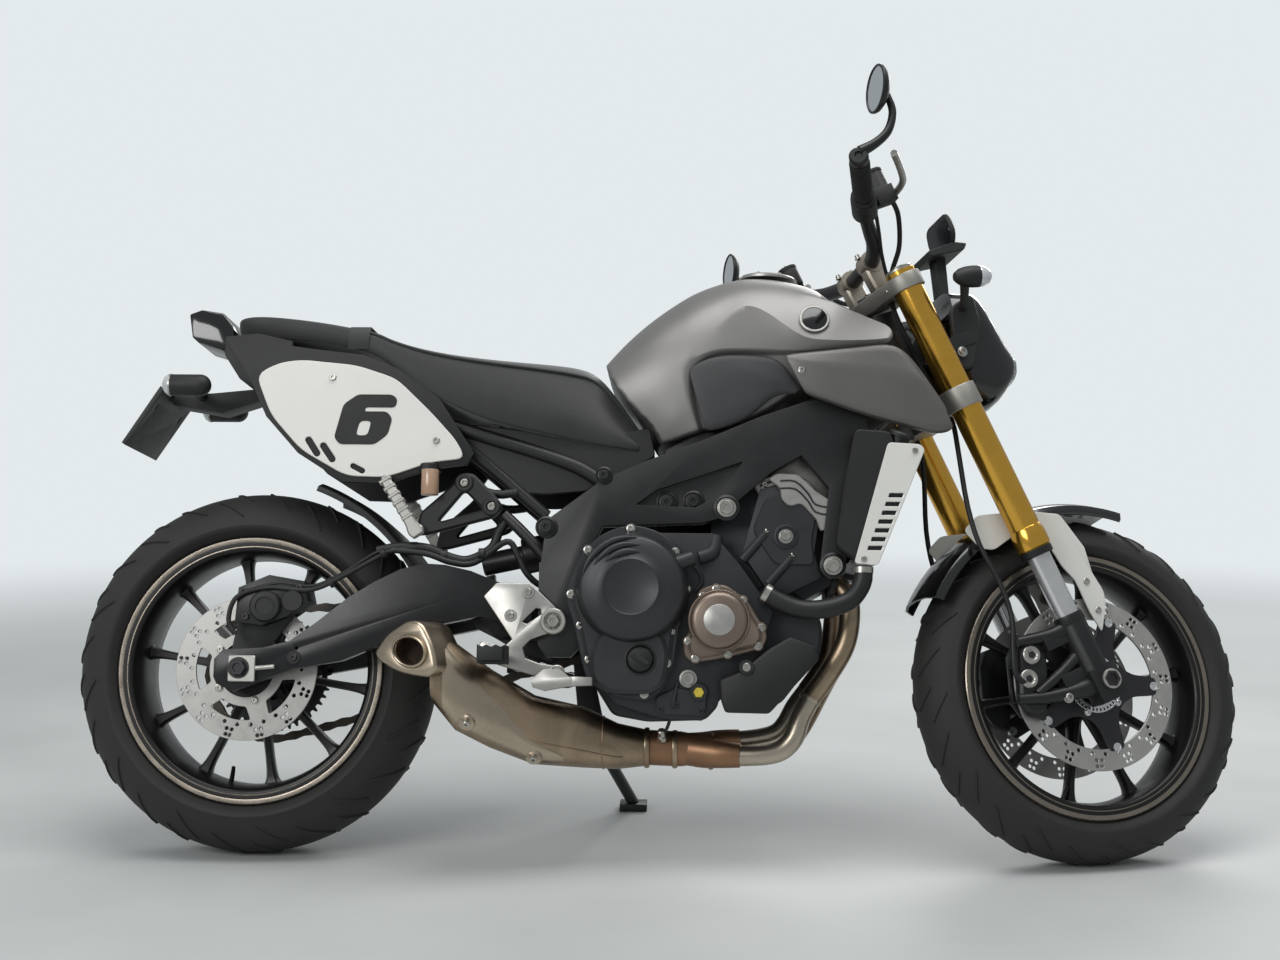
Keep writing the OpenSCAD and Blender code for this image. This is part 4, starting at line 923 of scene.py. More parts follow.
def front_discs():
    """Drilled floating discs on dark carriers."""
    bm = bmesh.new()
    for z in (-FRONT_DISC_SIDE, FRONT_DISC_SIDE):
        place = Matrix.Translation((0, 0, z))
        flat(bm, [circle((0, 0), 149, 120), circle((0, 0), 112, 96), *drilled_rows(120, 141, 30, 3.6)], 5,
             0.5, place)
        star = []
        for k in range(5):
            for r, a in ((63, -26), (78, -14), (106, -9), (119, -7), (119, 7), (106, 9), (78, 14), (63, 26)):
                angle = math.radians(k * 72 + a)
                star.append((r * math.cos(angle), r * math.sin(angle)))
        flat(bm, [rounded(star, 7, 3), circle((0, 0), 42, 48)], 6.4, 1, place, 1)
        for k in range(5):
            at = Matrix.Rotation(math.radians(k * 72), 4, "Z") @ Vector((113, 0, 0))
            side = 1 if z > 0 else -1
            lathe(bm, [(0, -4.4), (7.5, -4.4), (7.5, 4.4), (5, 4.6), (4.6, 3.4), (0, 3.4)],
                  place @ facing(at, (0, 0, side)), 24, 2)
            bolt = Matrix.Rotation(math.radians(k * 72 + 36), 4, "Z") @ Vector((52, 0, z + side * 3))
            cap_screw(bm, bolt, (0, 0, side), 5, 4.5, 2)
    slots = []
    for k in range(40):
        a, b = math.radians(k * 9 - 1.8), math.radians(k * 9 + 1.8)
        slots.append([Vector((r * math.cos(t), r * math.sin(t)))
                      for r, t in ((42.5, a), (47.5, a), (47.5, b), (42.5, b))])
    flat(bm, [circle((0, 0), 50, 72), circle((0, 0), 38, 48), *slots], 2, 0.3,
         Matrix.Translation((0, 0, -73.4)), 2)
    make("front_disc_pair", bm, FRONT_WHEEL, ("disc", "graphite", "steel"), "front_wheel", ("front_discs",))


def rear_disc():
    """One piece drilled rear disc with five windows."""
    bm = bmesh.new()
    windows = []
    for k in range(5):
        outline = circle((0, 0), 87, 10, math.radians(k * 72 + 11), math.radians(50))
        outline += circle((0, 0), 64, 6, math.radians(k * 72 + 56), math.radians(-40))
        windows.append(rounded(outline, 5, 2))
    flat(bm, [circle((0, 0), 122, 108), circle((0, 0), 48, 60), *windows, *drilled_rows(95, 115, 26, 3.4)], 5,
         0.5, Matrix.Translation((0, 0, -REAR_DISC_SIDE)))
    for k in range(5):
        at = Matrix.Rotation(math.radians(k * 72), 4, "Z") @ Vector((56, 0, -REAR_DISC_SIDE - 2.5))
        cap_screw(bm, at, (0, 0, -1), 5.5, 5, 1)
    make("rear_disc_drilled", bm, REAR_WHEEL, ("disc", "zinc"), "rear_wheel", ("rear_disc",))


class BIKE_OT_wheels(bpy.types.Operator):
    """Build the tyres, rims and discs"""

    bl_idname = "bike.wheels"
    bl_label = "Wheels"

    def execute(self, context):
        tyre("rear_road_tyre", "rear_tyre", REAR_WHEEL, "rear_wheel", REAR_RADIUS, 180, 95.4)
        tyre("front_road_tyre", "front_tyre", FRONT_WHEEL, "front_wheel", FRONT_RADIUS, 120, 64.2)
        wheel_rim("rear_wheel_cast", "rear_rim", REAR_WHEEL, "rear_wheel", 180, 46, 97.5, 62, 9)
        wheel_rim("front_wheel_cast", "front_rim", FRONT_WHEEL, "front_wheel", 120, 34, 65, 58, 26)
        front_discs()
        rear_disc()
        return {"FINISHED"}


# Engine and exhaust

# Where the covers meet the sides of the engine.
CASE_SIDE = 150.3
CLUTCH_FLANGE = [
    (661, 566), (712, 552), (746, 522), (766, 456), (744, 390), (738, 345), (735, 326), (716, 285),
    (690, 268), (632, 277), (590, 300), (580, 336), (568, 390), (550, 445), (572, 510), (610, 548)]
CLUTCH_BULGE = [
    (594, 340), (600, 296), (630, 279), (698, 279), (721, 296), (729, 345), (716, 384), (612, 384)]
CLUTCH_BOLTS = [
    (661, 557), (736, 518), (755, 456), (730, 384), (724, 331), (687, 279), (632, 289), (594, 336),
    (579, 393), (562, 445), (589, 520)]
IGNITION_EDGE = [
    (772, 452), (800, 463), (822, 463), (858, 438), (874, 412), (890, 388), (891, 370), (882, 356),
    (828, 342), (768, 333), (752, 344), (752, 372), (768, 392), (778, 420)]
IGNITION_BOLTS = [
    (806, 456), (850, 437), (881, 392), (876, 362), (826, 348), (772, 340), (760, 368), (784, 444)]
CAM_EDGE = [
    (868, 640), (897, 655), (934, 660), (962, 648), (985, 622), (1008, 597), (996, 580), (975, 598),
    (950, 622), (925, 632), (900, 628), (880, 618)]


def drawn_in(outline, share):
    """Outline drawn in towards its middle."""
    middle = sum((Vector(p) for p in outline), Vector((0, 0))) / len(outline)
    return [middle + (Vector(p) - middle) * share for p in outline]


def clutch_cover():
    """Round clutch cover on its flange, with the oil filler in the bulge below."""
    bm = bmesh.new()
    edge = rounded(CLUTCH_FLANGE, 22)
    plate(bm, edge, -166, -CASE_SIDE, 2)
    plate(bm, drawn_in(edge, 0.9), -176, -165, 5)
    lathe(bm, [(0, 0), (97, 0), (95, 8), (90, 20), (87, 30), (82, 34), (62, 38), (49, 41), (46.5, 43.5),
               (44.5, 42), (0, 42.6)], facing((664, -166, 455), RIGHT), 96)
    plate(bm, rounded(CLUTCH_BULGE, 16), -184, -165, 7)
    for reach, first, last in ((84, 84, 168), (72, 78, 150), (60, 74, 138)):
        run = []
        for step in range(7):
            angle = math.radians(first + (last - first) * step / 6)
            run.append((664 + reach * math.cos(angle), -200 - (84 - reach) * 0.16,
                        455 + reach * math.sin(angle)))
        tube(bm, run, [0.6, 4, 6, 6.5, 6, 4, 0.6], 3, 3)
    tube(bm, [(708, -176, 486), (738, -174, 497), (766, -172, 508)], [15, 14, 13], 1, 5)
    bosses(bm, [(0, 0), (11, 0), (10, 7), (0, 7)], CLUTCH_BOLTS, -160, 24)
    screws(bm, CLUTCH_BOLTS, -168, 5.5, 6, 1)
    filler = facing((680, -183, 336), RIGHT)
    lathe(bm, [(0, 0), (27, 0), (27, 2), (24, 3), (22, 1), (20, 1), (20, 6), (17, 8), (0, 8)], filler, 40, 2)
    flat(bm, [rounded([(-17, -4.5), (17, -4.5), (17, 4.5), (-17, 4.5)], 4)], 9, 1.5,
         filler @ Matrix.Translation((0, 0, 10)) @ Matrix.Rotation(math.radians(-28), 4, "Z"), 2)
    make("clutch_cover_cast", bm, BIKE, ("cover", "zinc", "black_plastic"), "chassis", ("clutch_cover",))


def ignition_cover():
    """Bronze cover with a bare disc in the middle of its dome."""
    bm = bmesh.new()
    edge = rounded(IGNITION_EDGE, 12)
    plate(bm, edge, -168, -CASE_SIDE, 2)
    plate(bm, drawn_in(edge, 0.88), -177, -167, 5)
    dome = facing((811, -174, 403), RIGHT)
    lathe(bm, [(0, 0), (53, 0), (51, 6), (50, 6.5), (48.5, 6), (47, 10), (44, 14), (38, 16), (0, 16.4)],
          dome, 72)
    lathe(bm, [(0, 15), (26, 15), (26, 17), (25, 17.6), (0, 17.6)], dome, 48, 1)
    bosses(bm, [(0, 0), (10, 0), (9, 7), (0, 7)], IGNITION_BOLTS, -162, 24)
    screws(bm, IGNITION_BOLTS, -170, 5, 6, 2)
    make("ignition_cover_cast", bm, BIKE, ("bronze", "disc", "zinc"), "chassis", ("ignition_cover",))


def left_side_covers():
    """Generator cover and sprocket cover on the left side, with their bolts."""
    bm = bmesh.new()
    dome = facing((790, CASE_SIDE, 405), LEFTWARD)
    lathe(bm, [(0, 0), (92, 0), (92, 10), (88, 16), (80, 26), (74, 34), (64, 36), (60, 44), (54, 46),
               (0, 46)], dome, 72)
    for k in range(9):
        at = dome @ Matrix.Rotation(math.radians(40 * k + 12), 4, "Z") @ Vector((86, 0, 14))
        cap_screw(bm, at, LEFTWARD, 5.5, 6, 1)
    plate(bm, rounded([(606, 335), (664, 335), (664, 490), (606, 490)], 20), 118, 150, 5)
    plate(bm, [(657, 345), (664, 345), (664, 480), (657, 480)], 88.3, 121, 1)
    screws(bm, ((617, 350), (652, 350), (617, 474), (652, 474)), 149, 5, 5, 1)
    make("left_covers_cast", bm, BIKE, ("cover", "zinc"), "chassis", ("left_covers",))


def engine_fittings():
    """Ribs, bolts, plugs and hoses on the engine's right side, its dark plates and the bare cam cover."""
    bm = bmesh.new()
    for low, high in (((850, 508), (889, 553)), ((894, 468), (933, 512))):
        tube(bm, [(low[0], -136, low[1]), (high[0], -136, high[1])], [8.5, 8], 1, 5)
        cap_screw(bm, (high[0] + 1, -137, high[1] + 3), (0.5, -0.6, 0.6), 5, 7, 1)
    plate(bm, rounded([(866, 560), (905, 500), (974, 500), (968, 540), (978, 600), (940, 630), (890, 616)],
                      14), -141, -136, 2)
    lathe(bm, [(0, 0), (22, 0), (21, 4), (17, 5), (16, 3), (0, 3)], facing((924, -139, 549), RIGHT), 32)
    cap_screw(bm, (924, -142, 549), RIGHT, 9, 6, 1)
    plate(bm, rounded(CAM_EDGE, 8), -130, -106, 2, 2)
    plate(bm, rounded([(893, 648), (909, 658), (946, 655), (974, 628), (1005, 608), (1006, 590), (996, 561),
                       (982, 558), (976, 578), (950, 606), (930, 600), (916, 612), (914, 632)], 7), -144,
          -136, 1.5, 4)
    for lift in (0, 13):
        tube(bm, [(914, -144, 644 - lift), (940, -144, 643 - lift), (962, -144, 622 - lift),
                  (974, -144, 604 - lift),
                  (1002, -144, 598 - lift)], 1.8, 3, 3)
    plate(bm, rounded([(596, 300), (632, 244), (690, 234), (790, 238), (812, 262), (812, 310)], 10), -112,
          -40, 5)
    plate(bm, rounded([(836, 262), (846, 400), (862, 440), (884, 470), (930, 462), (975, 432), (988, 400),
                       (985, 352), (946, 304), (915, 264)], 14), -118, -60, 6)
    for lift in (0, -9):
        tube(bm, [(880, -130.5, 636 + lift), (902, -130.5, 645 + lift), (932, -130.5, 649 + lift),
                  (956, -130.5, 640 + lift), (978, -130.5, 617 + lift), (998, -130.5, 594 + lift)], 1.8, 3, 3)
    screws(bm, ((888, 640), (990, 604)), -130, 5, 5, 1)
    cap_screw(bm, (760, -150, 306), RIGHT, 11, 8, 1)
    lathe(bm, [(0, 0), (16, 0), (16, 6), (14, 8), (0, 8)], facing((778, -150, 283), RIGHT), 10)
    lathe(bm, [(0, 7), (9, 7), (9, 10), (8, 11), (0, 11)], facing((778, -150, 283), RIGHT), 6, 3)
    plate(bm, rounded([(706, 246), (790, 244), (792, 282), (740, 290), (706, 276)], 8), -156, -149, 2)
    screws(bm, ((714, 254), (783, 252), (740, 262)), -155, 4.5, 5)
    lathe(bm, [(0, 0), (13, 0), (12, 3), (0, 3)], facing((857, -178, 325), RIGHT), 28)
    cap_screw(bm, (857, -180, 325), RIGHT, 7, 5, 1)
    tube(bm, [(742, -150, 300), (735, -158, 262), (728, -120, 232), (720, -92, 214)], 3, 5, 3)
    tube(bm, [(776, -150, 510), (800, -146, 520), (806, -140, 548)], [12, 13, 11], 3, 4)
    tube(bm, [(752, -168, 500), (772, -160, 492), (782, -152, 470), (770, -150, 452)], 3.5, 5, 3)
    make("engine_fittings", bm, BIKE, ("case", "zinc", "cast", "oil_cap", "silver"), "chassis", ())


def frame_bolts():
    """Engine mount bolts in their bosses along the frame."""
    bm = bmesh.new()
    for side, toward in SIDES:
        for x, z, y, r, slot in ((823, 596, 148, 12, 1), (721, 606, 137, 10, 0), (766, 608, 137, 10, 0),
                                 (1003, 499, 148, 12, 1), (613, 650, 148, 8, 0), (516, 560, 148, 10, 0)):
            lathe(bm, [(0, 0), (r * 1.9, 0), (r * 1.85, 5), (r * 1.5, 7), (r * 1.4, 4), (0, 4)],
                  facing((x, side * y, z), toward), 36)
            cap_screw(bm, (x, side * (y + 5), z), toward, r, 6, slot)
    make("frame_bolts", bm, BIKE, ("satin_black", "zinc"), "chassis", ())


# Muffler rows: X, middle in Y and Z, half width, half height and squareness.
MUFFLER_ROWS = [
    (690, -60, 190, 31, 31, 2), (640, -66, 192, 47, 39, 2.4), (580, -80, 207, 65, 52, 2.7),
    (500, -108, 218, 74, 58, 2.7), (430, -150, 252, 66, 65, 2.6), (376, -186, 286, 55, 71, 2.5),
    (338, -204, 322, 42, 60, 2.5)]


def muffler_row(t):
    """Muffler section at a place between rows, counted from the front."""
    i = min(int(t), len(MUFFLER_ROWS) - 2)
    return [a + (b - a) * (t - i) for a, b in zip(MUFFLER_ROWS[i], MUFFLER_ROWS[i + 1])]


def muffler_point(t, degrees, out=0.0):
    """Point on the muffler's skin, or so far outside it. 0 degrees is left and 90 is up."""
    x, y, z, wide, tall, square = muffler_row(t)
    c, s = math.cos(math.radians(degrees)), math.sin(math.radians(degrees))
    power = 2 / square
    return (x, y + (wide + out) * math.copysign(abs(c) ** power, c),
            z + (tall + out) * math.copysign(abs(s) ** power, s))


def muffler():
    """Silencer with its seam, shields, end cap and oval outlet."""
    bm = bmesh.new()
    last = len(MUFFLER_ROWS) - 1
    rows = []
    for k in range(3 * last + 1):
        rows.append([muffler_point(k / 3, 360 * j / 40) for j in range(40)])
    cage(bm, rows)
    for k in (0, 1.4):
        tube(bm, [muffler_point(k, 360 * j / 32, 0.6) for j in range(33)], 3 if k == 0 else 1.2, 1, 3)
    tube(bm, [muffler_point(0.8 + 0.25 * k, 206 - k * 1.5, 0.2) for k in range(16)], 1.7, 2, 3)
    shield = []
    for k in range(13):
        t = 2.35 + 3.1 * k / 12
        low, high = 232 - 4 * k / 12, 216 - 84 * (k / 12) ** 0.8
        shield.append([muffler_point(t, low + (high - low) * j / 8,
                                     3.5 if 0 < j < 8 and k > 0 else 1) for j in range(9)])
    sheet = bmesh.new()
    cage(sheet, shield, closed=False)
    bmesh.ops.recalc_face_normals(sheet, faces=sheet.faces)
    bmesh.ops.solidify(sheet, geom=sheet.faces[:], thickness=2)
    add_bmesh(bm, sheet, None, 1)
    for t, degrees in ((2.95, 224), (4.6, 214)):
        at = Vector(muffler_point(t, degrees, 3))
        out = Vector(muffler_point(t, degrees, 20)) - at
        lathe(bm, [(0, -2), (15, -2), (13, 2), (10, 1), (0, 1)], facing(at, out), 28, 1)
        cap_screw(bm, at + out.normalized() * 0.5, out, 6, 5, 2)
    cap = Matrix.Translation((297, -246, 344)) @ Matrix.Rotation(math.radians(-27), 4, "Z") @ STAND_UP
    edge = rounded([(-66, -4), (-42, 27), (0, 50), (28, 47), (52, 8), (62, -30), (46, -44), (16, -42),
                    (-22, -34), (-54, -17)], 15)
    tilt = Matrix.Rotation(math.radians(-15), 2)
    hole, lip = ([tilt @ Vector((wide * p.x, tall * p.y)) + Vector((8, -2)) for p in circle((0, 0), 1, 40)]
                 for wide, tall in ((31, 22), (35, 26)))
    flat(bm, [edge, hole], 84, 7, cap @ Matrix.Translation((0, 0, -42)), 1, 2)
    flat(bm, [lip, hole], 6, 1.2, cap @ Matrix.Translation((0, 0, 1)), 1)
    flat(bm, [lip], 3, 0.5, cap @ Matrix.Translation((0, 0, -34)), 3)
    make("muffler_shell", bm, BIKE, ("exhaust", "champagne", "zinc", "soot"), "chassis", ("muffler",),
         44)


def header_pipes():
    """Three header pipes, browned near the head, and the collector in front of the muffler."""
    bm = bmesh.new()
    near = [(1002.5, -80, 475.5), (1016, -80, 471.8), (1034, -86, 448), (1036, -86, 408), (1027, -86, 366),
            (1002, -86, 322), (970, -86, 278)]
    tube(bm, near, 18, 5, 6)
    tube(bm, [(970, -86, 278), (952, -90, 244), (940, -92, 210), (918, -92, 188), (884, -92, 180),
              (836, -86, 179)], 17.6, 5, 6, 1)
    lathe(bm, [(15, -4), (19.5, -3), (20, 0), (19.5, 3), (15, 4)],
          facing((968, -86, 275), (0.47, 0.02, 0.88)), 32, 1)
    middle = [(1002.5, 0, 475.5), (1014, 0, 471), (1016, -14, 440), (1011, -30, 392), (1000, -38, 342),
              (966, -40, 290)]
    tube(bm, middle, 18, 5, 6)
    tube(bm, [(966, -40, 290), (946, -40, 263), (930, -42, 234), (912, -44, 216), (880, -46, 207),
              (836, -48, 202)], 17.6, 5, 6, 1)
    far = [(1002.5, 80, 475.5), (1016, 80, 471.8), (1036, 76, 446), (1038, 60, 400), (1022, 30, 350),
           (990, 0, 290), (950, -14, 220), (910, -18, 186), (860, -20, 178), (790, -26, 180)]
    tube(bm, far, 18, 5, 6)
    lathe(bm, [(0, 0), (30, 0), (31, 12), (28, 44), (30, 56), (30, 112), (0, 112)],
          facing((804, -58, 187), (-1, 0, 0.03)), 44, 2)
    tube(bm, [(850, -88, 179), (815, -82, 181), (785, -68, 184), (762, -59, 187)], [20.5, 24, 27, 26],
         5, 8, 2)
    tube(bm, [(850, -48, 203), (815, -50, 199), (785, -56, 191), (762, -58, 188)], [20.5, 23, 27, 26],
         5, 8, 2)
    make("header_pipes", bm, BIKE, ("exhaust", "header", "heat_brown"), "chassis", ("exhaust_pipes",),
         44)


def exhaust_fittings():
    """Clamps, rings and the sensor on the exhaust pipes, and the coolant hose's clips."""
    bm = bmesh.new()
    for x, y, z, r in ((690, -60, 190, 34), (738, -58, 188, 32), (800, -58, 186, 31.5)):
        lathe(bm, [(r - 4, -5), (r, -4), (r + 1, 0), (r, 4), (r - 4, 5)], facing((x, y, z), (1, 0, 0)), 40)
    lathe(bm, [(0, 0), (9, 0), (9, 8), (7, 9), (7, 20), (5, 22), (0, 22)],
          facing((717, -84, 205), (-0.1, -0.7, 0.7)), 8, 1)
    for y in (-80, 0, 80):
        lathe(bm, [(18, -4), (27, -4), (27, 4), (22, 5), (18, 5)],
              facing((1009, y, 473.5), (0.965, 0, -0.263)), 32, 2)
    for x, y, z, toward in ((1052, -168, 490, (0, 0, 1)), (890, -166.5, 449, (-0.85, 0, 0.5))):
        lathe(bm, [(15, -5), (17.5, -5), (17.5, 5), (15, 5)], facing((x, y, z), toward), 32, 1)
    make("exhaust_fittings", bm, BIKE, ("exhaust", "zinc", "satin_black"), "chassis", ())


class BIKE_OT_engine(bpy.types.Operator):
    """Build the engine's covers and fittings, and the exhaust"""

    bl_idname = "bike.engine"
    bl_label = "Engine"

    def execute(self, context):
        clutch_cover()
        ignition_cover()
        left_side_covers()
        engine_fittings()
        frame_bolts()
        muffler()
        header_pipes()
        exhaust_fittings()
        return {"FINISHED"}


# Tail and rear suspension

BOARD = [
    (2, 825), (40, 846), (80, 852), (177, 843), (248, 820), (311, 760), (356, 711), (372, 680), (313, 673),
    (236, 646), (166, 648), (86, 693), (31, 754)]
# Plain numeral of the number panels, in a square of its own.
SIX = [
    (1, 0.74), (1, 0.9), (0.88, 1), (0.22, 1), (0, 0.8), (0, 0.14), (0.14, 0), (0.8, 0), (1, 0.2), (1, 0.52),
    (0.86, 0.66), (0.44, 0.66), (0.44, 0.74)]
SIX_EYE = [(0.4, 0.47), (0.4, 0.18), (0.62, 0.18), (0.62, 0.47)]


def slot_shape(a, b, radius):
    """Long hole from one point to another."""
    a, b = Vector(a), Vector(b)
    angle = math.atan2(b.y - a.y, b.x - a.x)
    return (circle(a, radius, 8, angle + math.pi / 2, math.pi)
            + circle(b, radius, 8, angle - math.pi / 2, math.pi))


def number_panels():
    """Pale number panels with their air slots, screws and a plain numeral on each side."""
    bm = bmesh.new()
    slots = [slot_shape((99, 710), (114, 687), 6), slot_shape((125, 700), (141, 677), 6),
             slot_shape((178, 665), (194, 657), 5)]
    for side in (-1, 1):
        plate(bm, rounded(BOARD, 20), side * 130.3, side * 134, 1.2, 0, slots)
        screws(bm, ((137, 821), (321, 711)), side * 133.5, 6, 4, 2)
        across = 1 if side < 0 else -1
        place = Matrix.Translation((197, side * 134.3, 747)) @ STAND_UP
        shapes = []
        for shape in (rounded(SIX, 0.07, 3), rounded(SIX_EYE, 0.08, 3)):
            shapes.append([Vector((across * (p[0] - 0.5) * 92 + (p[1] - 0.5) * across * 22,
                                   (p[1] - 0.5) * 88)) for p in shape])
        flat(bm, shapes, 0.8, 0, place, 1)
    make("number_boards", bm, BIKE, ("plate", "numeral", "zinc"), "chassis", ("number_panels",),
         20)


def tail_lenses():
    """Lenses of the tail lamp and of the rear indicators, with their bright rings."""
    bm = bmesh.new()
    plate(bm, rounded([(-143, 951), (-120, 959), (-104, 957), (-122, 905), (-136, 908)], 5), -52, 52, 3)
    plate(bm, rounded([(-144, 948), (-134, 953), (-131, 908), (-137, 911)], 3), -40, 40, 2, 1)
    for side in (-1, 1):
        lathe(bm, [(0, 0), (19.4, 0), (19, 5), (15, 11), (8, 15), (0, 16)],
              facing((-146, side * 130, 806), (-1, 0, 0)), 32)
        lathe(bm, [(17, 0), (19.6, 0), (19.6, 3), (17, 3)], facing((-149, side * 130, 806), (1, 0, 0)), 32, 2)
    make("tail_lenses", bm, BIKE, ("lamp", "red_lens", "silver"), "chassis", ())


def rear_fittings():
    """Axle blocks and nuts, the rear caliper's bosses, its hose and cable, and the brake pot's lid."""
    bm = bmesh.new()
    for side, toward in SIDES:
        plate(bm, rounded([(-16, 292), (30, 292), (30, 336), (-16, 336)], 4), side * 158, side * 165, 1.2, 1)
        hex_nut(bm, (2, side * 165, 315), toward, 14, 11, 2)
        tube(bm, [(30, side * 161, 315), (62, side * 161, 318)], 4, 1, 4, 1)
        lathe(bm, [(0, 0), (12, 0), (11, 4), (0, 4)], facing((92, side * 149, 334), toward), 20)
        cap_screw(bm, (92, side * 152, 334), toward, 6, 5, 2)
    lathe(bm, [(0, 0), (27, 0), (27, 8), (24, 12), (16, 13), (15, 11), (0, 11)],
          facing((40, -146, 420), RIGHT), 40)
    lathe(bm, [(0, 0), (18, 0), (17, 8), (0, 8)], facing((86, -146, 430), RIGHT), 32)
    screws(bm, ((2, 446), (96, 452), (6, 402)), -147, 6, 6, 2)
    tube(bm, [(-10, -150, 372), (-22, -151, 398), (-8, -152, 436), (44, -150, 452), (116, -150, 449),
              (172, -148, 474), (230, -142, 508), (252, -138, 518), (310, -132, 524), (366, -127, 506)],
         4.2, 6, 4)
    tube(bm, [(8, -150, 446), (60, -146, 460), (120, -146, 456), (176, -144, 482), (232, -136, 518),
              (300, -131, 526), (366, -127, 507)], 3.2, 6, 3)
    for x, z in ((150, 462), (238, 513)):
        lathe(bm, [(0, -4), (9, -4), (9, 4), (0, 4)], facing((x, -145, z), (0.8, 0, 0.5)), 16)
    lathe(bm, [(0, 0), (20, 0), (20, 12), (17, 14), (0, 14)], facing((309, -120, 658), (0, 0, 1)), 32)
    make("rear_fittings", bm, BIKE, ("black_plastic", "silver", "graphite"), "chassis", ())


def passenger_brackets():
    """Open passenger brackets with their two bolts each and the folded bright pegs."""
    bm = bmesh.new()
    for side in (-1, 1):
        web = rounded([(288, 546), (312, 548), (424, 578), (440, 596), (428, 614), (386, 655), (366, 656),
                       (354, 638), (296, 586)], 9)
        plate(bm, web, side * 115, side * 130, 4, 0, [rounded([(328, 570), (404, 592), (372, 624)], 8)])
        bolts = ((371, 638), (419, 597))
        bosses(bm, [(0, -34), (12, -34), (12, 0), (16, 0), (16, 3), (14, 5), (9, 5), (8, 2), (0, 2)], bolts,
               side * 129, 32)
        screws(bm, bolts, side * 130, 7, 5, 2)
        tube(bm, [(366, side * 104, 640), (420, side * 104, 622), (462, side * 106, 626)], 8, 3, 4)
        blade = (Matrix.Translation((262, side * 140, 600)) @ Matrix.Rotation(math.radians(-123), 4, "Y")
                 @ STAND_UP)
        bar = [(-52, -9), (46, -9), (56, -14), (66, -10), (66, 12), (54, 15), (40, 11), (-48, 8), (-56, 2)]
        flat(bm, [rounded([(-x, z) for x, z in bar], 4, 3)], 17, 2.5, blade, 1)
        for k in range(6):
            flat(bm, [[(44 - 15 * k, -11), (50 - 15 * k, -11), (50 - 15 * k, 11), (44 - 15 * k, 11)]], 20,
                 1.5, blade, 1)
    make("passenger_brackets", bm, BIKE, ("satin_black", "silver", "zinc"), "chassis", ("passenger_pegs",))


def rear_cables():
    """Loom and hoses above the swingarm, the bent tube behind the engine and the panels between the rails."""
    bm = bmesh.new()
    for side in (-1, 1):
        plate(bm, rounded([(336, 750), (364, 746), (466, 736), (600, 722), (690, 742), (700, 690), (604, 644),
                           (580, 628), (511, 622), (453, 625), (396, 676)], 8), side * 98, side * 104, 2, 2)
        plate(bm, rounded([(384, 440), (470, 448), (530, 430), (530, 330), (476, 344), (430, 372),
                           (388, 392)], 14), side * 98, side * 104, 2, 1)
    tube(bm, [(224, -130, 519), (264, -130, 526), (310, -130, 524), (352, -128, 508), (383, -126, 505),
              (420, -122, 526), (432, -116, 556), (447, -108, 580)], 8, 6, 4)
    tube(bm, [(250, -136, 520), (310, -137, 514), (352, -135, 500), (392, -130, 500), (446, -126, 537),
              (466, -125, 513), (479, -124, 487), (500, -118, 466), (534, -108, 452)], 5.5, 6, 4)
    tube(bm, [(440, -112, 585), (470, -118, 557), (505, -121, 520), (528, -121, 490), (525, -120, 468),
              (508, -112, 446)], 10, 6, 5, 1)
    for x, z in ((288, 525), (340, 512), (404, 515)):
        lathe(bm, [(0, -5), (10, -5), (10, 5), (0, 5)], facing((x, -129, z), (1, 0, 0)), 16)
    make("rear_cables", bm, BIKE, ("hose", "satin_black", "black_plastic"), "chassis", ())


def rider_fittings():
    """Screws of the rider's brackets, the pivot rings and the toothed pegs."""
    bm = bmesh.new()
    for side, toward in SIDES:
        bolts = ((489, 448), (460, 408))
        bosses(bm, [(0, 0), (11, 0), (10, 2), (0, 2)], bolts, side * 163, 24)
        screws(bm, bolts, side * 164, 6, 4, 1)
        lathe(bm, [(0, 0), (22, 0), (22, 5), (20, 7), (16, 7), (15, 3), (0, 3)],
              facing((532, side * 162, 399), toward), 40)
        hex_nut(bm, (532, side * 164, 399), toward, 11, 7, 1)
        lathe(bm, [(0, 0), (14, 0), (14, 5), (12, 6), (10, 4), (0, 4)],
              facing((540, side * 162, 312), toward), 32)
        cap_screw(bm, (540, side * 165, 312), toward, 7, 5, 1)
        for k in range(7):
            plate(bm, [(417, 324), (463, 324), (463, 354), (455, 350), (448, 354), (440, 350), (432, 354),
                       (425, 350), (417, 354)], side * (205 + 10 * k), side * (210 + 10 * k), 0.8, 2)
    make("rider_fittings", bm, BIKE, ("silver", "zinc", "black_plastic"), "chassis", ())


class BIKE_OT_tail(bpy.types.Operator):
    """Build the number panels, the tail's lenses and the rear fittings"""

    bl_idname = "bike.tail"
    bl_label = "Tail and rear"

    def execute(self, context):
        number_panels()
        tail_lenses()
        rear_fittings()
        passenger_brackets()
        rear_cables()
        rider_fittings()
        return {"FINISHED"}


# Front end

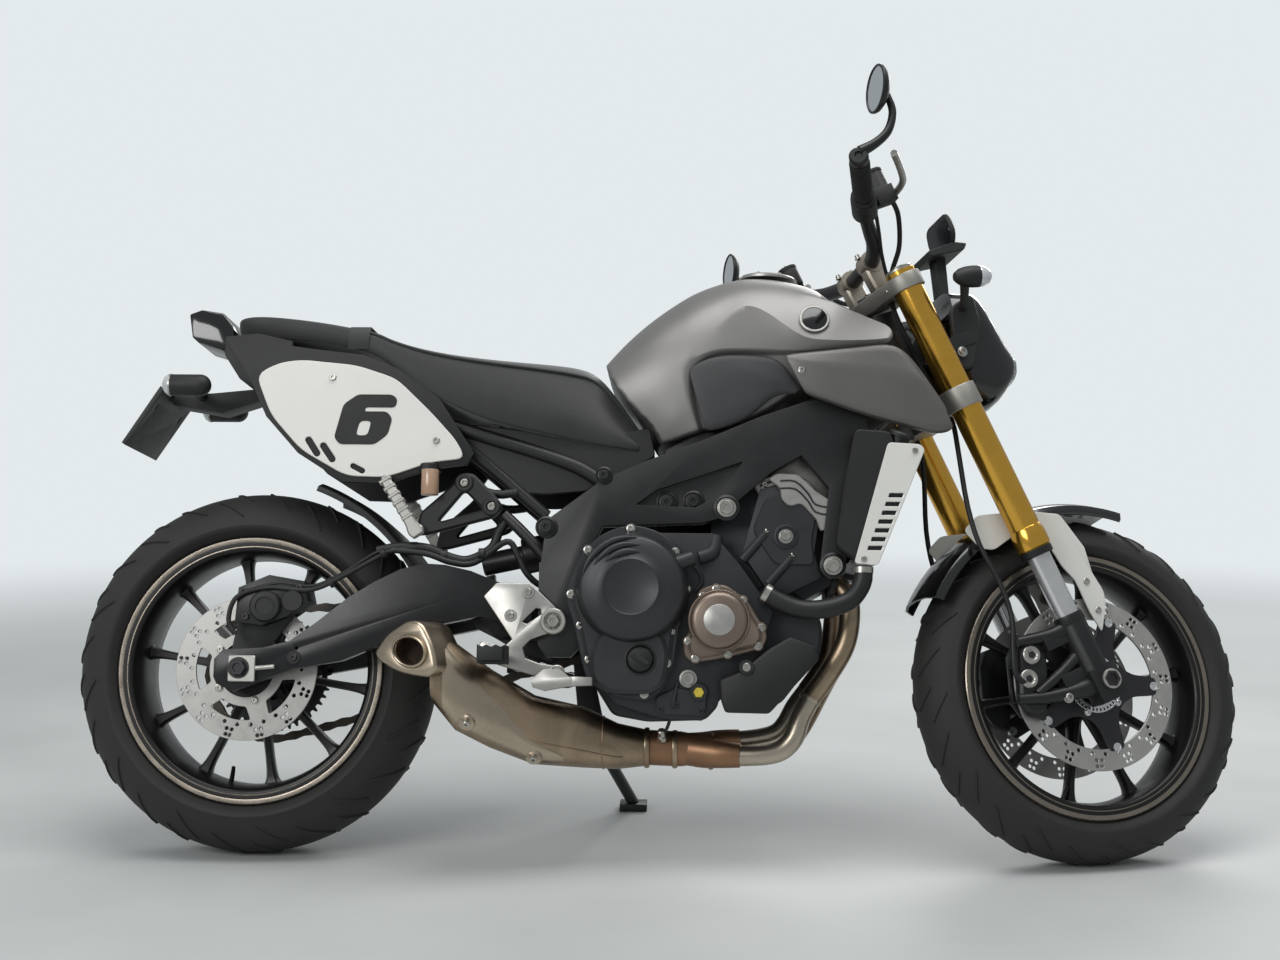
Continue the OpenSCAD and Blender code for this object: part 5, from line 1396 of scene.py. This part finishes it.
def fork_legs():
    """Gold tubes and bright sliders of the fork, with their collars, seals, caps and clamp screws."""
    bm = bmesh.new()
    for side in (-1, 1):
        leg = Matrix.Translation((FORK_OFFSET, side * FORK_HALF, 0))
        lathe(bm, [(0, 560), (26.5, 560), (27, 561), (27, 1104), (26, 1105), (0, 1105)], leg, 64)
        lathe(bm, [(0, 425), (20.5, 425), (20.5, 561), (0, 561)], leg, 64, 3)
        lathe(bm, [(26, 566), (29.5, 568), (30, 572), (30, 596), (28, 600), (28, 604), (26.5, 606)], leg, 48)
        lathe(bm, [(20.6, 553), (27, 553), (28.5, 555), (28.5, 565), (26, 567)], leg, 48, 1)
        lathe(bm, [(0, 1104), (25, 1104), (25, 1109), (23, 1111), (15, 1111), (15, 1107), (13, 1107),
                   (13, 1114), (0, 1114)], leg, 36, 2)
        for z in (850, 1082):
            cap_screw(bm, (FORK_OFFSET - 30, side * (FORK_HALF - 12), z), (-1, 0, 0), 5, 6, 2)
        lathe(bm, [(20.8, 441), (25.4, 441), (26.2, 438), (26.2, 428), (25, 424)], leg, 40, 1)
    lathe(bm, [(0, 1096), (20, 1096), (20, 1104), (17, 1107), (10, 1107), (9, 1103), (0, 1103)], None, 6, 2)
    make("fork_legs", bm, FORK, ("gold", "satin_black", "zinc", "steel"), "front_fork",
         ("fork_tubes", "fork_sliders"))


def caliper_fittings():
    """Struts of the fork's feet, caliper covers and bolts, and fender stays, in line with the wheel."""
    bm = bmesh.new()
    for side, toward in SIDES:
        y = side * 104
        tube(bm, [(1392, y, 396), (1350, y, 376), (1310, side * 100, 366), (1288, side * 96, 362)],
             [17, 12, 10, 9], 4, 4)
        tube(bm, [(1424, y, 292), (1376, y, 278), (1330, side * 100, 268), (1284, side * 96, 264)],
             [20, 13, 11, 9], 4, 4)
        tube(bm, [(1396, y, 344), (1372, y, 320), (1344, y, 296), (1318, side * 100, 274)],
             [13, 10, 9, 8], 4, 4)
        plate(bm, rounded([(1288, 256), (1290, 350), (1306, 372), (1336, 366), (1342, 318), (1336, 246),
                           (1310, 238)], 12), side * 86, side * 98, 4)
        bolts = ((1310, 340), (1303, 299))
        bosses(bm, [(0, 0), (16, 0), (16, 5), (14.5, 6.5), (10, 6.5), (8.5, 5), (0, 5)], bolts,
               side * 97, 32, 1)
        bosses(bm, [(0, 4), (7, 4), (7, 5.6), (0, 5.6)], bolts, side * 97, 5, 2)
        hex_nut(bm, (1440, side * 128, 300), toward, 15, 8, 2)
        lathe(bm, [(0, 0), (17, 0), (17, 4), (15, 5), (10, 5), (9, 2), (0, 2)],
              facing((1440, side * 130, 300), toward), 36, 1)
        stay_bolts = ((1433, 478), (1452, 428))
        bosses(bm, [(0, 0), (11, 0), (10, 3), (0, 3)], stay_bolts, side * 77, 24, 1)
        screws(bm, stay_bolts, side * 79, 6, 4, 1)
        cap_screw(bm, (1368, side * 112, 268), toward, 7, 6, 1)
        plate(bm, rounded([(1208, 556), (1234, 584), (1300, 594), (1350, 597), (1392, 596), (1430, 520),
                           (1466, 462), (1468, 438), (1457, 388), (1436, 423), (1412, 479), (1390, 500),
                           (1361, 546), (1304, 554), (1262, 524), (1236, 526)], 9), side * 77,
              side * 80.5, 1, 3)
    make("caliper_fittings", bm, TURNED, ("satin_black", "silver", "graphite", "plate"), "front_fork", ())


def headlight_fittings():
    """Brackets at the sides of the headlight, with their bolts."""
    bm = bmesh.new()
    for side, toward in SIDES:
        cap_screw(bm, (1213, side * 101, 875), toward, 7, 5, 2)
        plate(bm, rounded([(1196, 960), (1240, 990), (1254, 930), (1236, 850), (1216, 842), (1200, 862)], 14),
              side * 84, side * 98, 3)
    make("headlight_fittings", bm, TURNED, ("black_plastic", "silver", "zinc"), "front_fork", ())


def indicators():
    """Teardrop front indicators with clear lenses on short stalks."""
    bm = bmesh.new()
    for side in (-1, 1):
        tube(bm, [(1218, side * 90.3, 960), (1218, side * 106, 962), (1212, side * 124, 982),
                  (1208, side * 136, 994)], [9, 8, 8, 10], 4, 4)
        body = facing((1192, side * 142, 998), (1, 0, 0.12))
        lathe(bm, [(0, -8), (8, -6), (14, 2), (18, 14), (19.5, 26), (19.5, 38), (0, 38)], body, 32)
        lathe(bm, [(0, 37), (19, 37), (19.4, 39), (18, 48), (13, 58), (6, 63), (0, 64)], body, 32, 1)
    make("front_indicator_pair", bm, TURNED, ("black_plastic", "lamp"), "front_fork", ("front_indicators",))


def instrument():
    """Flat instrument on its stem, with a dark screen."""
    bm = bmesh.new()
    face = (Matrix.Translation((1229, 0, 1138)) @ Matrix.Rotation(math.radians(-105), 4, "Y")
            @ Matrix.Rotation(math.pi / 2, 4, "Z"))
    flat(bm, [rounded([(-46, -30), (46, -30), (54, 10), (36, 33), (-36, 33), (-54, 10)], 24, 6)], 9, 3, face)
    flat(bm, [rounded([(-40, -24), (40, -24), (47, 9), (32, 27), (-32, 27), (-47, 9)], 20, 6)], 2, 0.4,
         face @ Matrix.Translation((0, 0, 4.6)), 1)
    plate(bm, rounded([(1236, 1112), (1262, 1112), (1256, 1098), (1190, 1077), (1184, 1088)], 4), -40, 40, 2)
    plate(bm, rounded([(1214, 1011.3), (1234, 1011.3), (1230, 1096), (1208, 1088)], 4), -14, 14, 2)
    make("instrument_display", bm, TURNED, ("black_plastic", "screen"), "front_fork", ("instrument",))


def bar_point(y):
    """Point on the straight outer run of the handlebar, in fork space."""
    reach = abs(y) - 200
    return Vector((-42 - reach * 0.38, y, 1196 + reach * 0.235))


def mirrors():
    """Round mirrors on forged arms from the bar ends, with their glass to the rear."""
    bm = bmesh.new()
    for side in (-1, 1):
        end = bar_point(side * 390)
        along = (end - bar_point(side * 300)).normalized()
        lathe(bm, [(0, -5.7), (15.5, -5.7), (16, 0), (16, 8), (13, 12), (7, 12), (6, 9), (0, 9)],
              facing(end, along), 32)
        arm = [end + Vector(p) for p in ((4, side * 6, 8), (34, side * 11, 12), (62, side * 15, 24),
                                         (84, side * 16, 52), (88, side * 16, 84))]
        tube(bm, arm, [10, 8, 7, 6.5, 5.5], 5, 4)
        ahead = Vector((math.cos(RAKE), 0, -math.sin(RAKE)))
        face = facing(end + Vector((76, side * 14, 96)), -ahead)
        lathe(bm, [(0, -13), (28, -13), (37, -7), (40, -2), (40, 1.5), (38.5, 2.6), (36.5, 2.6), (36, 1)],
              face, 56)
        lathe(bm, [(36, 1), (0, 1)], face, 56, 1)
    make("bar_end_mirrors", bm, FORK, ("satin_black", "glass"), "front_fork", ("mirrors",))


def handlebar():
    """Tapered bar in its pewter risers and clamps."""
    bm = bmesh.new()
    half = [(8, 60, 1150), (-6, 120, 1162), (-24, 160, 1180), bar_point(200), bar_point(230), bar_point(384)]
    run = [(x, -y, z) for x, y, z in reversed(half)] + [(8, 0, 1149)] + half
    tube(bm, run, [11, 11, 11.5, 12.5, 14, 14, 14, 14, 14, 12.5, 11.5, 11, 11], 4, 5)
    for side in (-1, 1):
        y = side * 49
        plate(bm, rounded([(-8, 1096.3), (28, 1096.3), (26, 1134), (24, 1168), (-6, 1168), (-10, 1132)], 8),
              side * 34, side * 64, 4, 1)
        lathe(bm, [(0, -16), (20, -16), (21, -14), (21, 14), (20, 16), (0, 16)],
              facing((9, y, 1150), LEFTWARD), 36, 1)
        for x in (-6, 22):
            cap_screw(bm, (x, y, 1168), (0, 0, 1), 5, 6, 2)
    make("handlebar_tapered", bm, FORK, ("graphite", "pewter", "zinc"), "front_fork", ("handlebar",))


def bar_fittings():
    """Ribs of the grips, the lids of the fluid pots, and the cables from the bar to the lower yoke."""
    bm = bmesh.new()
    for side in (-1, 1):
        along = (bar_point(side * 380) - bar_point(side * 280)).normalized()
        for k in range(15):
            at = bar_point(side * (276 + 7 * k))
            lathe(bm, [(15, -1.6), (17, -1), (17, 1), (15, 1.6)], facing(at, along), 28)
        lathe(bm, [(14, -3), (21, -3), (21, 2), (19, 3), (14, 3)], facing(bar_point(side * 268), along), 32)
        lathe(bm, [(0, 0), (19, 0), (19, 4), (17, 6), (0, 6)],
              facing((-8, side * 222, 1256), (0, 0, 1)), 32, 1)
        for k in range(3):
            cap_screw(bm, (-8 + 12 * math.cos(k * 2.1), side * 222 + 12 * math.sin(k * 2.1), 1261), (0, 0, 1),
                      2.5, 3, 2)
        tube(bm, [(10, side * 214, 1205), (22, side * 190, 1180), (26, side * 140, 1140),
                  (20, side * 84, 1110), (8, side * 60, 1060), (2, side * 66, 960), (4, side * 72, 880)],
             4.4, 6, 4)
    tube(bm, [(-30, -216, 1192), (-20, -180, 1168), (4, -110, 1140), (18, -70, 1100), (36, -50, 1040),
              (42, -42, 960), (36, -44, 868)], 3.4, 6, 3)
    make("bar_fittings", bm, FORK, ("grip_rubber", "black_plastic", "zinc"), "front_fork", ())


def radiator_guards():
    """Pale radiator guards with a ladder of slots in their lower half, the side covers and the cap."""
    bm = bmesh.new()
    for side in (-1, 1):
        slots = []
        for k in range(7):
            x, z = 1058 + 5.95 * k, 526 + 14.9 * k
            slots.append(rounded([(x, z - 3.5), (x + 25, z - 3.5), (x + 27, z + 4), (x + 2, z + 4)], 1.5, 2))
        plate(bm, rounded([(1036, 500), (1076, 497), (1156, 694), (1148, 703), (1094, 706)], 7), side * 178.3,
              side * 183, 1, 0, slots)
        screws(bm, ((1052, 508), (1139, 692)), side * 182.5, 5, 4, 1)
        plate(bm, rounded([(1006, 530), (1044, 502), (1108, 702), (1100, 726), (1040, 730), (1022, 640)], 10),
              side * 150, side * 176, 3, 2)
    cap = facing((1118, -158, 720), (0.3, -0.22, 0.93))
    lathe(bm, [(0, -20), (17, -20), (17, 0), (24, 0), (24, 5), (21, 8), (16, 8.5), (15, 7.5), (0, 8)],
          cap, 44, 2)
    make("radiator_guard_pair", bm, BIKE, ("plate", "zinc", "black_plastic"), "chassis", ("radiator_guards",),
         20)


class BIKE_OT_front(bpy.types.Operator):
    """Build the fork legs, the handlebar, the lamps, the mirrors and the radiator guards"""

    bl_idname = "bike.front"
    bl_label = "Front end"

    def execute(self, context):
        radiator_guards()
        fork_legs()
        caliper_fittings()
        headlight_fittings()
        indicators()
        instrument()
        mirrors()
        handlebar()
        bar_fittings()
        return {"FINISHED"}


class BIKE_OT_carried(bpy.types.Operator):
    """Dress every solid that no other piece stands for"""

    bl_idname = "bike.carried"
    bl_label = "Carried solids"

    def execute(self, context):
        for node, (finish_name, edge) in CARRIED.items():
            dress(node, finish_name, edge)
        return {"FINISHED"}


# Stage

CAMERA_PLACE = (0.0639, -3.2517, 0.8332)
CAMERA_YAW = math.radians(1.807)
CAMERA_PITCH = math.radians(-3.305)
CAMERA_ROLL = math.radians(-0.17)
CAMERA_LENS = 49.75


def camera():
    ahead = Vector((-math.sin(CAMERA_YAW) * math.cos(CAMERA_PITCH),
                    math.cos(CAMERA_YAW) * math.cos(CAMERA_PITCH), math.sin(CAMERA_PITCH)))
    right = Vector((math.cos(CAMERA_YAW), math.sin(CAMERA_YAW), 0))
    turn = Matrix((right, right.cross(ahead), -ahead)).transposed().to_4x4()
    data = bpy.data.cameras.new("photo_camera")
    data.lens = CAMERA_LENS
    data.sensor_width = 36
    data.clip_end = 100
    obj = bpy.data.objects.new("photo_camera", data)
    obj.matrix_world = Matrix.Translation(CAMERA_PLACE) @ turn @ Matrix.Rotation(-CAMERA_ROLL, 4, "Z")
    bpy.context.scene.collection.objects.link(obj)
    bpy.context.scene.camera = obj


def softbox(name, place, aim, size, power):
    data = bpy.data.lights.new(name, "AREA")
    data.shape = "RECTANGLE"
    data.size, data.size_y = size
    data.energy = power
    obj = bpy.data.objects.new(name, data)
    obj.location = place
    obj.rotation_euler = (Vector(aim) - Vector(place)).to_track_quat("-Z", "Y").to_euler()
    bpy.context.scene.collection.objects.link(obj)


FLOOR_RADIUS = 7
PALE_WALL = tone("e4eaec")


def floor():
    """Pale floor that fades out into the backdrop."""
    bm = bmesh.new()
    bmesh.ops.create_circle(bm, cap_ends=True, segments=96, radius=FLOOR_RADIUS)
    mesh = bpy.data.meshes.new("floor")
    bm.to_mesh(mesh)
    bm.free()
    material, nodes, links = node_tree("floor_stone")
    surface = nodes["Principled BSDF"]
    cloud = texture(nodes, links, "ShaderNodeTexNoise", 1.6, Detail=6.0)
    tint = ramp(nodes, links, cloud.outputs["Fac"], [(0.3, tone("b9bcbb")), (0.7, tone("c6c8c7"))])
    links.new(tint.outputs["Color"], surface.inputs["Base Color"])
    surface.inputs["Roughness"].default_value = 0.6
    place = nodes.new("ShaderNodeTexCoord")
    far = nodes.new("ShaderNodeVectorMath")
    far.operation = "LENGTH"
    links.new(place.outputs["Object"], far.inputs[0])
    fade = nodes.new("ShaderNodeMapRange")
    fade.interpolation_type = "SMOOTHSTEP"
    fade.inputs["From Min"].default_value = 1.9
    fade.inputs["From Max"].default_value = FLOOR_RADIUS * 0.8
    links.new(far.outputs["Value"], fade.inputs["Value"])
    clear = nodes.new("ShaderNodeBsdfTransparent")
    blend = nodes.new("ShaderNodeMixShader")
    links.new(fade.outputs["Result"], blend.inputs["Fac"])
    links.new(surface.outputs["BSDF"], blend.inputs[1])
    links.new(clear.outputs["BSDF"], blend.inputs[2])
    links.new(blend.outputs["Shader"], nodes["Material Output"].inputs["Surface"])
    mesh.materials.append(material)
    obj = bpy.data.objects.new("floor", mesh)
    bpy.context.scene.collection.objects.link(obj)


def backdrop():
    """World: the pale wall to the camera and through clear surfaces, and a plain soft fill of the same pale colour
    for everything else, reflections included.
    """
    world = bpy.data.worlds.new("studio")
    world.use_nodes = True
    nodes, links = world.node_tree.nodes, world.node_tree.links
    wall = nodes["Background"]
    wall.inputs["Color"].default_value = (*PALE_WALL, 1)
    wall.inputs["Strength"].default_value = 1.0
    fill = nodes.new("ShaderNodeBackground")
    fill.inputs["Color"].default_value = (*PALE_WALL, 1)
    fill.inputs["Strength"].default_value = 0.45
    path = nodes.new("ShaderNodeLightPath")
    seen = nodes.new("ShaderNodeMath")
    seen.operation = "MAXIMUM"
    links.new(path.outputs["Is Camera Ray"], seen.inputs[0])
    links.new(path.outputs["Is Transmission Ray"], seen.inputs[1])
    blend = nodes.new("ShaderNodeMixShader")
    links.new(seen.outputs["Value"], blend.inputs["Fac"])
    links.new(fill.outputs["Background"], blend.inputs[1])
    links.new(wall.outputs["Background"], blend.inputs[2])
    links.new(blend.outputs["Shader"], nodes["World Output"].inputs["Surface"])
    bpy.context.scene.world = world


class BIKE_OT_stage(bpy.types.Operator):
    """Set the camera, the light, the floor and the backdrop"""

    bl_idname = "bike.stage"
    bl_label = "Stage"

    def execute(self, context):
        camera()
        floor()
        backdrop()
        softbox("top_light", (0.2, -0.6, 3.4), (0, 0, 0.4), (3.2, 1.6), 70)
        softbox("side_light", (-2.4, -3.2, 2.2), (0, 0, 0.5), (2.0, 1.4), 55)
        softbox("back_light", (1.5, 3.0, 2.4), (0, 0, 0.6), (2.6, 1.4), 60)
        bpy.context.scene.view_settings.view_transform = "Standard"
        return {"FINISHED"}


STEPS = (BIKE_OT_finishes, BIKE_OT_bodywork, BIKE_OT_wheels, BIKE_OT_engine, BIKE_OT_tail, BIKE_OT_front,
         BIKE_OT_carried, BIKE_OT_stage)


class BIKE_PT_panel(bpy.types.Panel):
    """Steps that build the motorcycle"""

    bl_idname = "BIKE_PT_panel"
    bl_label = "Motorcycle"
    bl_space_type = "VIEW_3D"
    bl_region_type = "UI"
    bl_category = "Motorcycle"

    def draw(self, context):
        for step in STEPS:
            self.layout.operator(step.bl_idname)
        for group in (context.scene.bike_colours, context.scene.bike_sizes):
            box = self.layout.box()
            for field in group.__annotations__:
                box.prop(group, field)


CLASSES = (BikeColours, BikeSizes, *STEPS, BIKE_PT_panel)


def register():
    for cls in CLASSES:
        bpy.utils.register_class(cls)
    bpy.types.Scene.bike_colours = bpy.props.PointerProperty(type=BikeColours)
    bpy.types.Scene.bike_sizes = bpy.props.PointerProperty(type=BikeSizes)


def unregister():
    del bpy.types.Scene.bike_sizes
    del bpy.types.Scene.bike_colours
    for cls in reversed(CLASSES):
        bpy.utils.unregister_class(cls)


def main():
    register()
    for step in STEPS:
        group, call = step.bl_idname.split(".")
        getattr(getattr(bpy.ops, group), call)()


if __name__ == "__main__":
    main()
